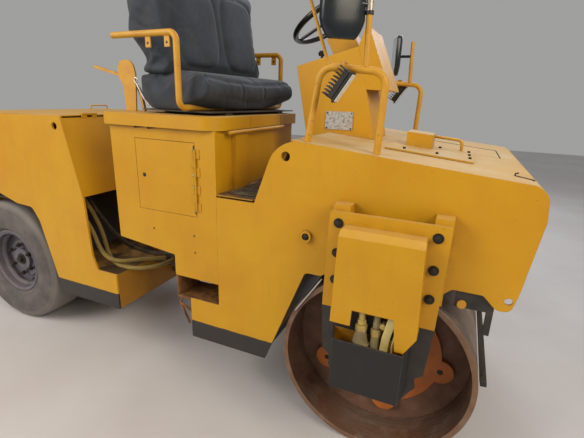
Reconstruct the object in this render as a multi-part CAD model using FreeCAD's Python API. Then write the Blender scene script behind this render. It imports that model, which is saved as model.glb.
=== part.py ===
import FreeCAD, Part
import math
import os

V = FreeCAD.Vector

# The machine is an articulated compaction roller: a steel drum in front, four smooth tyres
# behind, and a steering pivot between the two frames.
# The origin is on the ground below the steering pivot. +X is forward, +Y is the left side,
# +Z is up. All sizes are in millimetres.

# Overall sizes and fits
AXLE_FRONT = 1235.0        # drum axle, ahead of the steering pivot
AXLE_REAR = -1235.0        # tyre axle, behind the steering pivot
HALF_WIDTH = 650.0         # outer faces of the front side plates
REAR_HALF_WIDTH = 621.0    # outer faces of the rear side plates
BOTTOM_Z = 325.0           # lower edge of both frames
PLATE = 12.0               # frame side plates
SHEET = 6.0                # folded covers and floors
JOIN = 0.3                 # clear fit between parts that are seated on one another
RUN_FIT = 0.05             # clear fit round a pin or shaft
INNER_HALF = HALF_WIDTH - PLATE
REAR_INNER_HALF = REAR_HALF_WIDTH - PLATE

# Drum
DRUM_R = 425.0
DRUM_TOP = 2 * DRUM_R
DRUM_END_GAP = 24.0        # from the drum's end to the outer face of the side plate
DRUM_HALF = HALF_WIDTH - DRUM_END_GAP
DRUM_WALL = 22.0
DRUM_RECESS = 190.0        # depth of the open recess at each end
HEAD_T = 20.0              # disc that closes the drum
HUB_T = 25.0
HUB_R = 281.0
HUB_LOBES = 5
HUB_TURN = math.radians(-8.3)
LOBE_R = 58.0
LOBE_PITCH_R = 284.0

# Tyres and wheels
TYRE_R = 420.0
TYRE_WIDTH = 262.0
TYRE_INSET = 15.0          # outer side wall, inside the rear side plate's outer face
TWIN_GAP = 34.0
RIM_R = 203.0
RIM_FLANGE_R = 222.0
RIM_T = 8.0
DISC_T = 12.0
DISC_SET = 20.0            # disc, outward from the middle of the tyre
HUB_SLEEVE_R = 130.0
CAP_R = 75.0
LUG_PITCH_R = 102.5
LUG_COUNT = 6
LUG_R = 13.0
AXLE_TUBE_R = 60.0
AXLE_FLANGE_R = 110.0
AXLE_TUBE_HALF = 300.0

# Front side plates and the slanted plate behind the drum
SLOPE_GAP = 39.8           # from the drum's face to the slanted plate
SLOPE = math.radians(20.75)
SLOPE_EDGE = 21.0          # how far the side plates reach past the slanted plate
SHOULDER_Z = DRUM_TOP - 24.0
ARCH_GAP = 50.0            # from the drum's face to the arch over it
NOTCH_X = 292.0            # rear end of the lower frame
STEP_Z = 550.0             # top of the lower frame
SEAM_X = 463.0             # rear edge of the upper side plates
SILL_Z = 1104.0            # lower edge of the side plates at the footwell
FLOOR_Z = 1118.0           # top of the footwell floor
NOSE_X = AXLE_FRONT + 515.0

# Hood over the drum
HORN_FOOT_X = 658.0
HORN_TOP_X = 763.0
HORN_R = 137.0
DASH_FOOT_X = 715.0
HOOD_X0 = 821.0            # rear end of the hood sheet
HOOD_Z = 1388.0            # hood line height there
HOOD_FALL = math.tan(math.radians(5.5))
NOSE_BEND = 60.0
NOSE_BEND_X = NOSE_X - 12.0
NOSE_Z = 1188.0            # height of the foremost edge
NOSE_TUCK = 32.0           # how far the nose leans back below it
NOSE_LOW_Z = DRUM_TOP + 63.0

# Operator's pedestal, on the right side of the frame
PED_X0 = -151.0            # rear wall
PED_X1 = SEAM_X - JOIN     # front wall
PED_Y1 = 190.0             # left wall
PED_TOP = 1400.0
PED_REAR_Z = 813.0         # underside at the rear wall
PED_STEP_X = 205.0         # step in the underside, above the foot recess
PED_MID_Z = 774.0
PED_LOW_Z = 664.0
TRAY_LIP = 22.0            # overhang of the top tray
TRAY_Z = 1458.0

# Steering pivot
PIN_R = 35.0
YOKE_LOW = (340.0, 375.0)  # heights of the fork's lower arm
YOKE_HIGH = (515.0, 550.0)
KNUCKLE_GAP = 3.0
BOSS_R = 85.0

# Rear frame
PLATFORM_X = -254.0        # front face of the low platform
PLATFORM_Z = 544.0
BAY_X = AXLE_REAR + TYRE_R + 102.0
TAIL_X = -1750.0
TAIL_LEAN = 20.0
REAR_ARCH_Z = 2 * TYRE_R + 73.0
REAR_FLOOR_Z = 2 * TYRE_R + 40.0
REAR_FLOOR_X = AXLE_REAR + 375.0
WALL_FOOT = (-449.0, 978.0)
WALL_TOP = (-546.0, 1405.0)

# Drum supports
FLANGE_OUT = 85.0          # outer face of the flange, from the side plate's outer face
FLANGE_T = 20.0
COVER_OUT = 162.0
GUARD_OUT = 182.0
FLANGE_Y = -HALF_WIDTH - FLANGE_OUT
CARRIER_TOP_Z = 745.0

os.makedirs("parts", exist_ok=True)


def box(x0, x1, y0, y1, z0, z1):
    return Part.makeBox(x1 - x0, y1 - y0, z1 - z0, V(x0, y0, z0))


def rod(start, end, radius):
    start = V(*start)
    end = V(*end)
    return Part.makeCylinder(radius, (end - start).Length, start, end - start)


def rod_y(x, z, y0, y1, radius):
    return rod((x, y0, z), (x, y1, z), radius)


def rod_z(x, y, z0, z1, radius):
    return rod((x, y, z0), (x, y, z1), radius)


def mirror_y(shape):
    return shape.mirror(V(0, 0, 0), V(0, 1, 0))


def both_sides(shape):
    return [shape, mirror_y(shape)]


def on_plane(plane, u, v, w):
    """A point from flat coordinates: plane 'xz' has w along Y, 'xy' along Z, 'yz' along X."""
    return {"xz": V(u, w, v), "xy": V(u, v, w), "yz": V(w, u, v)}[plane]


def corner_points(before, at, after, radius):
    """Start, middle and end of the arc that rounds one corner of an outline."""
    a = V(before[0] - at[0], before[1] - at[1], 0).normalize()
    b = V(after[0] - at[0], after[1] - at[1], 0).normalize()
    half = math.acos(max(-1.0, min(1.0, a.dot(b)))) / 2
    reach = radius / math.tan(half)
    middle = (a + b).normalize() * (radius / math.sin(half) - radius)
    corner = V(at[0], at[1], 0)
    return corner + a * reach, corner + middle, corner + b * reach


def outline_edges(points, plane, w, closed=True):
    """Lines joined by arcs through points (u, v) or (u, v, corner radius)."""
    count = len(points)
    stops = []
    for i, p in enumerate(points):
        inner = closed or 0 < i < count - 1
        if len(p) > 2 and p[2] > 0 and inner:
            stops.append(corner_points(points[i - 1], p, points[(i + 1) % count], p[2]))
        else:
            stops.append((V(p[0], p[1], 0),) * 3)
    edges = []
    for i, (start, middle, end) in enumerate(stops):
        at = [on_plane(plane, q.x, q.y, w) for q in (start, middle, end)]
        if (end - start).Length > 1e-6:
            edges.append(Part.Arc(*at).toShape())
        if closed or i < count - 1:
            target = stops[(i + 1) % count][0]
            if (target - end).Length > 1e-6:
                edges.append(Part.LineSegment(at[2], on_plane(plane, target.x, target.y, w)).toShape())
    return edges


def prism(points, plane, low, high):
    """A flat outline pushed straight from low to high across its plane."""
    wire = Part.Wire(outline_edges(points, plane, low))
    push = on_plane(plane, 0, 0, high - low)
    return Part.Face(wire).extrude(push)


def shifted_path(points, offset):
    """An open path moved sideways: the left of travel is positive."""
    count = len(points)
    normals = []
    for i in range(count - 1):
        run = V(points[i + 1][0] - points[i][0], points[i + 1][1] - points[i][1], 0).normalize()
        normals.append(V(-run.y, run.x, 0))
    moved = []
    for i, p in enumerate(points):
        first = normals[max(0, i - 1)]
        second = normals[min(count - 2, i)]
        middle = (first + second).normalize()
        shift = middle * (offset / middle.dot(first))
        radius = p[2] if len(p) > 2 else 0
        if radius and 0 < i < count - 1:
            turn = first.x * second.y - first.y * second.x
            radius = radius - offset if turn > 0 else radius + offset
        moved.append((p[0] + shift.x, p[1] + shift.y, radius))
    return moved


def folded(points, thickness, plane, low, high):
    """A sheet folded along an open path, its thickness to the left of travel."""
    inner = shifted_path(points, thickness)
    edges = outline_edges(points, plane, low, closed=False)
    back = outline_edges(inner, plane, low, closed=False)
    first = on_plane(plane, points[0][0], points[0][1], low)
    last = on_plane(plane, points[-1][0], points[-1][1], low)
    inner_first = on_plane(plane, inner[0][0], inner[0][1], low)
    inner_last = on_plane(plane, inner[-1][0], inner[-1][1], low)
    sides = [Part.LineSegment(last, inner_last).toShape(), Part.LineSegment(inner_first, first).toShape()]
    wire = Part.Wire(Part.__sortEdges__(edges + back + sides))
    return Part.Face(wire).extrude(on_plane(plane, 0, 0, high - low))


def tube_along(points, radius, bends):
    """A round bar along straight runs, with the bend radius of each inner corner."""
    path = [V(*p) for p in points]
    edges = []
    start = path[0]
    for before, at, after, bend in zip(path, path[1:], path[2:], bends):
        a = (before - at).normalize()
        b = (after - at).normalize()
        half = math.acos(max(-1.0, min(1.0, a.dot(b)))) / 2
        reach = bend / math.tan(half)
        middle = at + (a + b).normalize() * (bend / math.sin(half) - bend)
        edges.append(Part.LineSegment(start, at + a * reach).toShape())
        edges.append(Part.Arc(at + a * reach, middle, at + b * reach).toShape())
        start = at + b * reach
    edges.append(Part.LineSegment(start, path[-1]).toShape())
    circle = Part.makeCircle(radius, path[0], path[1] - path[0])
    return Part.Wire(edges).makePipeShell([Part.Wire([circle])], True, False)


def bent_tube(points, radius, bend):
    return tube_along(points, radius, [bend] * (len(points) - 2))


def turned(points, centre, axis):
    """A solid of revolution: points are (distance along the axis, radius)."""
    axis = V(*axis)
    side = V(0, 0, 1) if abs(axis.z) < 0.9 else V(1, 0, 0)
    corners = [V(*centre) + axis * along + side * radius for along, radius in points]
    face = Part.Face(Part.makePolygon(corners + [corners[0]]))
    return face.revolve(V(*centre), axis, 360)


def hinge(start, end, radius, pin_radius, parts, fixed_leaf, moving_leaf):
    """Barrels in line on one pin, in turn on the fixed and the moving side.

    A leaf function gives the flat that joins the barrel between two places along the pin.
    """
    start = V(*start)
    run = V(*end) - start
    gap = 0.4
    inset = V(run).normalize() * (gap / 2)
    fixed = [rod(tuple(start), tuple(start + run), pin_radius)]
    moving = []
    for i in range(parts):
        a = start + run * (i / parts) + inset
        b = start + run * ((i + 1) / parts) - inset
        if i % 2 == 0:
            fixed.append(rod(tuple(a), tuple(b), radius))
            fixed.append(fixed_leaf(a, b))
        else:
            sleeve = rod(tuple(a), tuple(b), radius).fuse(moving_leaf(a, b))
            moving.append(sleeve.cut(rod(tuple(a - inset * 2), tuple(b + inset * 2), pin_radius + RUN_FIT)))
    return fixed, moving


def joined(shapes):
    result = shapes[0]
    for shape in shapes[1:]:
        result = result.fuse(shape)
    return result.removeSplitter()


def save(name, shapes):
    """Write one node: a single solid, or several solids that don't touch."""
    shapes = shapes if isinstance(shapes, list) else [shapes]
    solids = [solid for shape in shapes for solid in shape.Solids]
    node = solids[0] if len(solids) == 1 else Part.makeCompound(solids)
    node.exportStep("parts/" + name + ".step")


def hood_z(x):
    return HOOD_Z - (x - HOOD_X0) * HOOD_FALL


def slope_x(z):
    """Front face of the slanted plate, which passes the drum at one distance."""
    return AXLE_FRONT - (DRUM_R + SLOPE_GAP) / math.cos(SLOPE) + (z - DRUM_R) * math.tan(SLOPE)


def below_hood():
    """The space under the hood's top face, to trim what is welded on it."""
    low = hood_z(NOSE_X) - 100
    outline = [(HOOD_X0, HOOD_Z), (NOSE_X, hood_z(NOSE_X)), (NOSE_X, low), (HOOD_X0, low)]
    return prism(outline, "xz", -HALF_WIDTH, HALF_WIDTH)


# Front side plates: hood line, curved horn, footwell sill, stepped rear edge, slanted edge
# behind the drum, arch over the drum and rounded lower nose.
EYE_R = 20.0
EYE_X = HORN_TOP_X + 40.0
EYE_Z = HOOD_Z - 67.0
LASH_R = 14.0
LASH_X = NOSE_X - 60.0
LASH_Z = NOSE_LOW_Z - 33.0
DRAIN_X = 911.0            # short tube through the side plate
DRAIN_Z = 996.0
DRAIN_R = 24.0
DRAIN_BORE_R = 16.0
DRAIN_OUT = 16.0


def front_side_plate():
    edge_low = slope_x(BOTTOM_Z) + SLOPE_EDGE
    edge_high = slope_x(SHOULDER_Z) + SLOPE_EDGE
    lip_z = DRUM_TOP + 35
    chin_z = DRUM_TOP - 12
    outline = [
        (NOTCH_X, BOTTOM_Z), (edge_low, BOTTOM_Z), (edge_high, SHOULDER_Z, 25),
        (NOSE_X - 310, SHOULDER_Z), (NOSE_X - 250, lip_z, 20), (NOSE_X - 143, lip_z, 15),
        (NOSE_X - 95, chin_z, 30), (NOSE_X - 48, chin_z, 30), (NOSE_X - NOSE_TUCK, NOSE_LOW_Z, 60),
        (NOSE_X, NOSE_Z, 60), (NOSE_BEND_X, hood_z(NOSE_BEND_X), NOSE_BEND),
        (HORN_TOP_X, hood_z(HORN_TOP_X), HORN_R), (HORN_FOOT_X, SILL_Z, 4), (SEAM_X, SILL_Z),
        (SEAM_X, STEP_Z), (NOTCH_X, STEP_Z),
    ]
    plate = prism(outline, "xz", -HALF_WIDTH, -INNER_HALF)
    arch_r = DRUM_R + ARCH_GAP
    arch = rod_y(AXLE_FRONT, DRUM_R, -HALF_WIDTH - 1, -INNER_HALF + 1, arch_r)
    above = box(AXLE_FRONT - arch_r, NOSE_X, -HALF_WIDTH - 2, 0, SHOULDER_Z - 1, 2 * arch_r)
    plate = plate.cut(arch.common(above))
    for x, z, radius in ((EYE_X, EYE_Z, EYE_R), (LASH_X, LASH_Z, LASH_R)):
        plate = plate.cut(rod_y(x, z, -HALF_WIDTH - 1, -INNER_HALF + 1, radius))
    return plate.cut(rod_y(DRAIN_X, DRAIN_Z, -HALF_WIDTH - 1, -INNER_HALF + 1, DRAIN_R + JOIN))


def drain_tube():
    """A short open tube that is seated in the side plate and stands out of it."""
    tube = rod_y(DRAIN_X, DRAIN_Z, -HALF_WIDTH - DRAIN_OUT, -INNER_HALF, DRAIN_R)
    bore = rod_y(DRAIN_X, DRAIN_Z, -HALF_WIDTH - DRAIN_OUT - 1, -INNER_HALF + 1, DRAIN_BORE_R)
    return tube.cut(bore)


# Lower front frame: rear cross plate, bottom plate, step plate and the slanted plate that
# closes the frame behind the drum.
SLOPE_TOP_Z = DRUM_TOP - 50.0


def frame_crossmember():
    half = INNER_HALF
    floor_under = FLOOR_Z - SHEET
    back = box(NOTCH_X, NOTCH_X + PLATE, -half, half, BOTTOM_Z, STEP_Z)
    bottom = box(NOTCH_X, slope_x(BOTTOM_Z), -half, half, BOTTOM_Z, BOTTOM_Z + PLATE)
    top = box(NOTCH_X, SEAM_X + PLATE, -half, half, STEP_Z - PLATE, STEP_Z)
    wall = box(SEAM_X, SEAM_X + PLATE, -half, half, STEP_Z, floor_under)
    path = [
        (slope_x(BOTTOM_Z), BOTTOM_Z), (slope_x(SLOPE_TOP_Z), SLOPE_TOP_Z),
        (slope_x(SLOPE_TOP_Z), floor_under),
    ]
    return joined([back, bottom, top, wall, folded(path, PLATE, "xz", -half, half)])


# Footwell: floor out to the side plates' faces, a little above the sill, and the leaning dash.
FLOOR_EDGE = 2.0
DASH_TOP_GAP = 2.0


def footwell():
    dash_top = (HOOD_X0 - SHEET, HOOD_Z - SHEET - DASH_TOP_GAP)
    path = [(SEAM_X, FLOOR_Z), (DASH_FOOT_X, FLOOR_Z, 20), dash_top]
    sheet = folded(path, -SHEET, "xz", -INNER_HALF, INNER_HALF)
    reach = HALF_WIDTH - FLOOR_EDGE
    return joined([sheet, box(SEAM_X, HORN_FOOT_X - 8, -reach, reach, FLOOR_Z - SHEET, FLOOR_Z)])


# Hood: one sheet from the dash over the nose, with an opening for the inspection hatch.
HATCH_X0 = 1215.0
HATCH_X1 = 1632.0
HATCH_Y0 = -30.0
HATCH_Y1 = 312.0
HATCH_GAP = 5.0
HATCH_PIN_X = HATCH_X0 - 2.0
HATCH_PIN_Z = hood_z(HATCH_PIN_X) + 7.0
HATCH_HINGE = 80.0         # length of each hinge


def hatch_hinges():
    """Two hinges along the hatch's rear edge, above the hood's face."""
    def hood_leaf(a, b):
        leaf = box(HATCH_PIN_X - 30, HATCH_PIN_X, a.y, b.y, HATCH_PIN_Z - 5, HATCH_PIN_Z - 2)
        return leaf.cut(below_hood())

    def hatch_leaf(a, b):
        arm = box(HATCH_PIN_X, HATCH_PIN_X + 34, a.y, b.y, HATCH_PIN_Z - 6, HATCH_PIN_Z - 2)
        seat = box(HATCH_X0 + HATCH_GAP, HATCH_PIN_X + 34, a.y, b.y, HATCH_PIN_Z - 11, HATCH_PIN_Z - 6)
        return arm.fuse(seat)

    fixed = []
    moving = []
    for y in (HATCH_Y0 + 30, HATCH_Y1 - 30 - HATCH_HINGE):
        start = (HATCH_PIN_X, y, HATCH_PIN_Z)
        end = (HATCH_PIN_X, y + HATCH_HINGE, HATCH_PIN_Z)
        parts = hinge(start, end, 6, 2.5, 3, hood_leaf, hatch_leaf)
        fixed += parts[0]
        moving += parts[1]
    return fixed, moving


def hood_shell():
    path = [
        (HOOD_X0, HOOD_Z), (NOSE_BEND_X, hood_z(NOSE_BEND_X), NOSE_BEND), (NOSE_X, NOSE_Z, 60),
        (NOSE_X - NOSE_TUCK, NOSE_LOW_Z),
    ]
    shell = folded(path, -SHEET, "xz", -INNER_HALF, INNER_HALF)
    opening = box(HATCH_X0, HATCH_X1, HATCH_Y0, HATCH_Y1, hood_z(HATCH_X1) - 3 * SHEET, HOOD_Z + SHEET)
    return joined([shell.cut(opening)] + hatch_hinges()[0])


def hood_hatch():
    x0 = HATCH_X0 + HATCH_GAP
    x1 = HATCH_X1 - HATCH_GAP
    path = [(x0, hood_z(x0)), (x1, hood_z(x1))]
    lid = folded(path, -SHEET, "xz", HATCH_Y0 + HATCH_GAP, HATCH_Y1 - HATCH_GAP)
    return joined([lid] + hatch_hinges()[1])


# Bolted cover on the hood, beside the hatch, with a block and a bent grab rod.
COVER_X0 = 1153.0
COVER_X1 = 1508.0
COVER_Y0 = -397.0
COVER_Y1 = -37.0
COVER_T = 8.0
BLOCK_X0 = 1216.0
BLOCK_X1 = 1330.0
BLOCK_Y0 = -205.0
BLOCK_Y1 = -45.0
BLOCK_H = 62.0
GRAB_ROD_R = 7.0
GRAB_ROD_X = 1456.0
GRAB_ROD_Y = -62.0


def hood_cover():
    def slab(x0, x1, y0, y1, low, high):
        outline = [
            (x0, hood_z(x0) + low), (x1, hood_z(x1) + low), (x1, hood_z(x1) + high), (x0, hood_z(x0) + high)]
        return prism(outline, "xz", y0, y1)

    cover = slab(COVER_X0, COVER_X1, COVER_Y0, COVER_Y1, JOIN, COVER_T)
    block = slab(BLOCK_X0, BLOCK_X1, BLOCK_Y0, BLOCK_Y1, COVER_T, COVER_T + BLOCK_H)
    top = COVER_T + BLOCK_H - 2 * GRAB_ROD_R
    points = [
        (BLOCK_X1 - 20, GRAB_ROD_Y, hood_z(BLOCK_X1 - 20) + top),
        (GRAB_ROD_X, GRAB_ROD_Y, hood_z(GRAB_ROD_X) + top),
        (GRAB_ROD_X, GRAB_ROD_Y, hood_z(GRAB_ROD_X) + COVER_T / 2),
    ]
    return joined([cover, block, bent_tube(points, GRAB_ROD_R, 22)])


# Pedestal: a box with a door opening in its right wall, stepped along its underside, with a
# folded post and a grab bar on its front wall.
DOOR_X0 = 3.0
DOOR_X1 = 354.0
DOOR_Z0 = 992.0
DOOR_Z1 = 1343.0
DOOR_GAP = 2.0
DOOR_T = 4.0
DOOR_PIN_X = DOOR_X1 + 2.0
DOOR_PIN_OUT = 6.0
POST_Y0 = -HALF_WIDTH + 136.0
POST_Y1 = -HALF_WIDTH + 252.0
POST_T = 25.0
GRAB_BAR_R = 8.0
GRAB_BAR_OUT = 37.0
GRAB_BAR_Z = PED_TOP - GRAB_BAR_R
GRAB_BAR_Y0 = -HALF_WIDTH + 64.0
GRAB_BAR_Y1 = PED_Y1 - 206.0


def underside():
    return [(PED_X0, PED_REAR_Z), (PED_STEP_X, PED_MID_Z), (PED_STEP_X, PED_LOW_Z), (PED_X1, PED_LOW_Z)]


def door_hinges():
    y = -HALF_WIDTH - DOOR_PIN_OUT

    def wall_leaf(a, b):
        return box(DOOR_PIN_X, DOOR_PIN_X + 22, y + 3, -HALF_WIDTH, a.z, b.z)

    def door_leaf(a, b):
        return box(DOOR_PIN_X - 26, DOOR_PIN_X, y + 3, -HALF_WIDTH, a.z, b.z)

    low = (DOOR_PIN_X, y, DOOR_Z0 + 30)
    return hinge(low, (DOOR_PIN_X, y, DOOR_Z1 - 30), 5, 2, 7, wall_leaf, door_leaf)


def pedestal():
    outline = underside() + [(PED_X1, PED_TOP), (PED_X0, PED_TOP)]
    solid = prism(outline, "xz", -HALF_WIDTH, PED_Y1)
    front = PED_X1 - PLATE
    inner_z = PED_MID_Z + PLATE
    inner = [
        (PED_X0 + SHEET, PED_REAR_Z + PLATE), (PED_STEP_X + SHEET, inner_z), (front, inner_z),
        (front, PED_TOP + 1), (PED_X0 + SHEET, PED_TOP + 1),
    ]
    hollow = prism(inner, "xz", -HALF_WIDTH + SHEET, PED_Y1 - SHEET)
    opening = box(DOOR_X0, DOOR_X1, -HALF_WIDTH - 1, -HALF_WIDTH + SHEET + 1, DOOR_Z0, DOOR_Z1)
    post = box(PED_X1, PED_X1 + POST_T, POST_Y0, POST_Y1, FLOOR_Z + JOIN, PED_TOP - 20)
    return joined([solid.cut(hollow).cut(opening), post] + door_hinges()[0])


def grab_bar():
    """A round bar along the pedestal's front wall, on two short feet."""
    bar_x = PED_X1 + GRAB_BAR_OUT
    bar = rod_y(bar_x, GRAB_BAR_Z, GRAB_BAR_Y0, GRAB_BAR_Y1, GRAB_BAR_R)
    feet = [rod((PED_X1 + JOIN, y, GRAB_BAR_Z), (bar_x, y, GRAB_BAR_Z), GRAB_BAR_R - 2)
            for y in (GRAB_BAR_Y0 + 20, GRAB_BAR_Y1 - 20)]
    return joined([bar] + feet)


def pedestal_door():
    panel = box(
        DOOR_X0 + DOOR_GAP, DOOR_X1 - DOOR_GAP, -HALF_WIDTH, -HALF_WIDTH + DOOR_T,
        DOOR_Z0 + DOOR_GAP, DOOR_Z1 - DOOR_GAP)
    return joined([panel] + door_hinges()[1])


def left_deck():
    outline = underside() + [(PED_X1, FLOOR_Z), (PED_X0, FLOOR_Z)]
    return prism(outline, "xz", PED_Y1 + JOIN, HALF_WIDTH)


TRAY_SEAMS = (-371.0, -24.0)
SEAM_W = 3.0


def top_tray():
    """The pedestal's top: a shallow tray turned upside down, with rounded corners."""
    low_y = -HALF_WIDTH - TRAY_LIP
    front = PED_X1 + TRAY_LIP
    corners = [
        (PED_X0 - TRAY_LIP, low_y, 20), (front, low_y, 85), (front, PED_Y1 + TRAY_LIP, 20),
        (PED_X0 - TRAY_LIP, PED_Y1 + TRAY_LIP, 20),
    ]
    tray = prism(corners, "xy", PED_TOP, TRAY_Z)
    below = box(
        PED_X0 + PLATE, PED_X1 - PLATE, -HALF_WIDTH + PLATE, PED_Y1 - PLATE, PED_TOP - 1, TRAY_Z - SHEET)
    tray = tray.cut(below)
    for y in TRAY_SEAMS:
        tray = tray.cut(box(front - SEAM_W, front + 1, y, y + SEAM_W, PED_TOP - 1, TRAY_Z + 1))
    return tray


# Steps: a tread in the recess on each side, its rear plate, and a bent stirrup below.
TREAD_DEPTH = 180.0
STEP_PLATE_X = PED_STEP_X + 5.0
STIRRUP_IN = 50.0
STIRRUP_R = 6.0


def step():
    y0 = -HALF_WIDTH
    y1 = y0 + TREAD_DEPTH
    tread = box(STEP_PLATE_X, NOTCH_X - JOIN, y0, y1, STEP_Z - PLATE, STEP_Z)
    plate = box(STEP_PLATE_X, STEP_PLATE_X + SHEET, y0, y1, STEP_Z, PED_LOW_Z - JOIN)
    y = y0 + STIRRUP_IN
    knee = (STEP_PLATE_X - 28, y, STEP_Z - 75)
    bars = [
        rod((STEP_PLATE_X + 8, y, STEP_Z - PLATE), knee, STIRRUP_R),
        rod(knee, (STEP_PLATE_X + 44, y, STEP_Z - 112), STIRRUP_R),
        rod(knee, (STEP_PLATE_X + 28, y, STEP_Z - 190), STIRRUP_R),
    ]
    return joined([tread, plate] + bars)


# Steering pivot: a fork on the front frame, a knuckle on the rear frame and one pin. The
# steering cylinder beside it swings on the rear platform, and its rod's eye sits round a pin
# on the fork.
YOKE_HALF = 250.0
PIN_HEAD_T = 18.0
PIN_TAIL = 12.0
CYL_Y = -200.0
CYL_Z = 610.0
CYL_REAR_X = -330.0
CYL_FRONT_X = 220.0
BARREL_R = 36.0
ROD_R = 16.0
BARREL_END_X = -20.0
EYE_HALF = 15.0
CYL_PIN_R = 14.0
OPEN_EYE_R = 28.0
LUG_FOOT_R = 26.0


def cylinder_lug(x, base):
    foot = rod_z(x, CYL_Y, base, CYL_Z - EYE_HALF - 2, LUG_FOOT_R)
    return foot.fuse(rod_z(x, CYL_Y, base, CYL_Z + EYE_HALF + 12, CYL_PIN_R))


def pivot_yoke():
    base = NOTCH_X - JOIN
    arms = []
    for low, high in (YOKE_LOW, YOKE_HIGH):
        outline = [(0, -BOSS_R), (base, -YOKE_HALF), (base, YOKE_HALF), (0, BOSS_R)]
        arm = prism(outline, "xy", low, high).fuse(rod_z(0, 0, low, high, BOSS_R))
        arms.append(arm.cut(rod_z(0, 0, low - 1, high + 1, PIN_R + RUN_FIT)))
    web = box(base - 40, base, -YOKE_HALF + 40, YOKE_HALF - 40, YOKE_LOW[1], YOKE_HIGH[0])
    return joined([arms[0], web, arms[1], cylinder_lug(CYL_FRONT_X, YOKE_HIGH[0])])


def pivot_pin():
    body = rod_z(0, 0, YOKE_LOW[0] - PIN_TAIL, YOKE_HIGH[1], PIN_R)
    head = rod_z(0, 0, YOKE_HIGH[1], YOKE_HIGH[1] + PIN_HEAD_T, PIN_R + 20)
    return body.fuse(head).removeSplitter()


KNUCKLE_HALF = 150.0


def pivot_knuckle():
    low = YOKE_LOW[1] + KNUCKLE_GAP
    high = YOKE_HIGH[0] - KNUCKLE_GAP
    base = PLATFORM_X + JOIN
    outline = [(base, -KNUCKLE_HALF), (0, -BOSS_R), (0, BOSS_R), (base, KNUCKLE_HALF)]
    arm = prism(outline, "xy", low, high).fuse(rod_z(0, 0, low, high, BOSS_R))
    return arm.cut(rod_z(0, 0, low - 1, high + 1, PIN_R + RUN_FIT)).removeSplitter()


def steer_barrel():
    eye = rod_z(CYL_REAR_X, CYL_Y, CYL_Z - EYE_HALF, CYL_Z + EYE_HALF, OPEN_EYE_R)
    neck = rod((CYL_REAR_X + 20, CYL_Y, CYL_Z), (CYL_REAR_X + 45, CYL_Y, CYL_Z), EYE_HALF)
    tube = rod((CYL_REAR_X + 40, CYL_Y, CYL_Z), (BARREL_END_X, CYL_Y, CYL_Z), BARREL_R)
    bore = rod((CYL_REAR_X + 50, CYL_Y, CYL_Z), (BARREL_END_X + 1, CYL_Y, CYL_Z), ROD_R + RUN_FIT)
    pin_hole = rod_z(CYL_REAR_X, CYL_Y, CYL_Z - BARREL_R, CYL_Z + BARREL_R, CYL_PIN_R + RUN_FIT)
    return joined([eye, neck, tube]).cut(bore).cut(pin_hole)


def steer_rod():
    shaft = rod((BARREL_END_X - 130, CYL_Y, CYL_Z), (CYL_FRONT_X - 35, CYL_Y, CYL_Z), ROD_R)
    eye = rod_z(CYL_FRONT_X, CYL_Y, CYL_Z - EYE_HALF, CYL_Z + EYE_HALF, OPEN_EYE_R + 12)
    hole = rod_z(CYL_FRONT_X, CYL_Y, CYL_Z - EYE_HALF - 1, CYL_Z + EYE_HALF + 1, OPEN_EYE_R)
    return shaft.fuse(eye).cut(hole).removeSplitter()


# Rear frame: platform, side plates with the tyre arches, leaning front wall, tail and lid.
def rear_platform():
    """Folded plate from the front face up over the low platform and back to the hose bay."""
    path = [(BAY_X, BOTTOM_Z), (PLATFORM_X, BOTTOM_Z), (PLATFORM_X, PLATFORM_Z), (BAY_X, PLATFORM_Z)]
    deck = folded(path, PLATE, "xz", -REAR_INNER_HALF, REAR_INNER_HALF)
    return joined([deck, cylinder_lug(CYL_REAR_X, PLATFORM_Z - PLATE)])


REAR_EYE_X = -594.0
REAR_EYE_Z = 1361.0
RAIL_TOP_Z = 1395.0


def rear_side_plate():
    arch = REAR_ARCH_Z
    tyre_front = AXLE_REAR + TYRE_R
    outline = [
        (PLATFORM_X, BOTTOM_Z), (PLATFORM_X, PLATFORM_Z), (-395, PLATFORM_Z, 15), (-428, 636, 40),
        (WALL_FOOT[0] + 6, WALL_FOOT[1] - 6), (WALL_TOP[0] + 2, WALL_TOP[1] + 12, 5),
        (TAIL_X + 150, RAIL_TOP_Z), (TAIL_X + TAIL_LEAN, RAIL_TOP_Z - 25, 60),
        (TAIL_X, arch - 213, 30), (TAIL_X + 60, arch - 273, 30), (TAIL_X + 150, arch - 53, 80),
        (AXLE_REAR - 265, arch, 60), (AXLE_REAR + 48, arch), (tyre_front - 220, arch - 45, 60),
        (tyre_front - 82, arch - 52, 40), (tyre_front - 29, arch - 134, 40), (tyre_front + 90, BOTTOM_Z),
    ]
    plate = prism(outline, "xz", -REAR_HALF_WIDTH, -REAR_INNER_HALF)
    return plate.cut(rod_y(REAR_EYE_X, REAR_EYE_Z, -REAR_HALF_WIDTH - 1, -REAR_INNER_HALF + 1, EYE_R))


LID_Z = WALL_TOP[1]
LID_PIN_X = WALL_TOP[0] - 2.0
LID_PIN_Z = LID_Z + 19.0
LID_HINGE = 100.0
LID_SLOTS = 5
LID_SLOT_X = AXLE_REAR + 260.0
LID_SLOT_PITCH = 152.0
LID_SLOT_W = 12.0
LID_EDGE = 14.0
GRILLE_SLOTS = 6
GRILLE_Z = 880.0
GRILLE_PITCH = 60.0
GRILLE_HALF = 350.0
TAIL_LAMP_R = 40.0
TAIL_LAMP_Y = 480.0
TAIL_LAMP_Z = 1250.0


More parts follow.
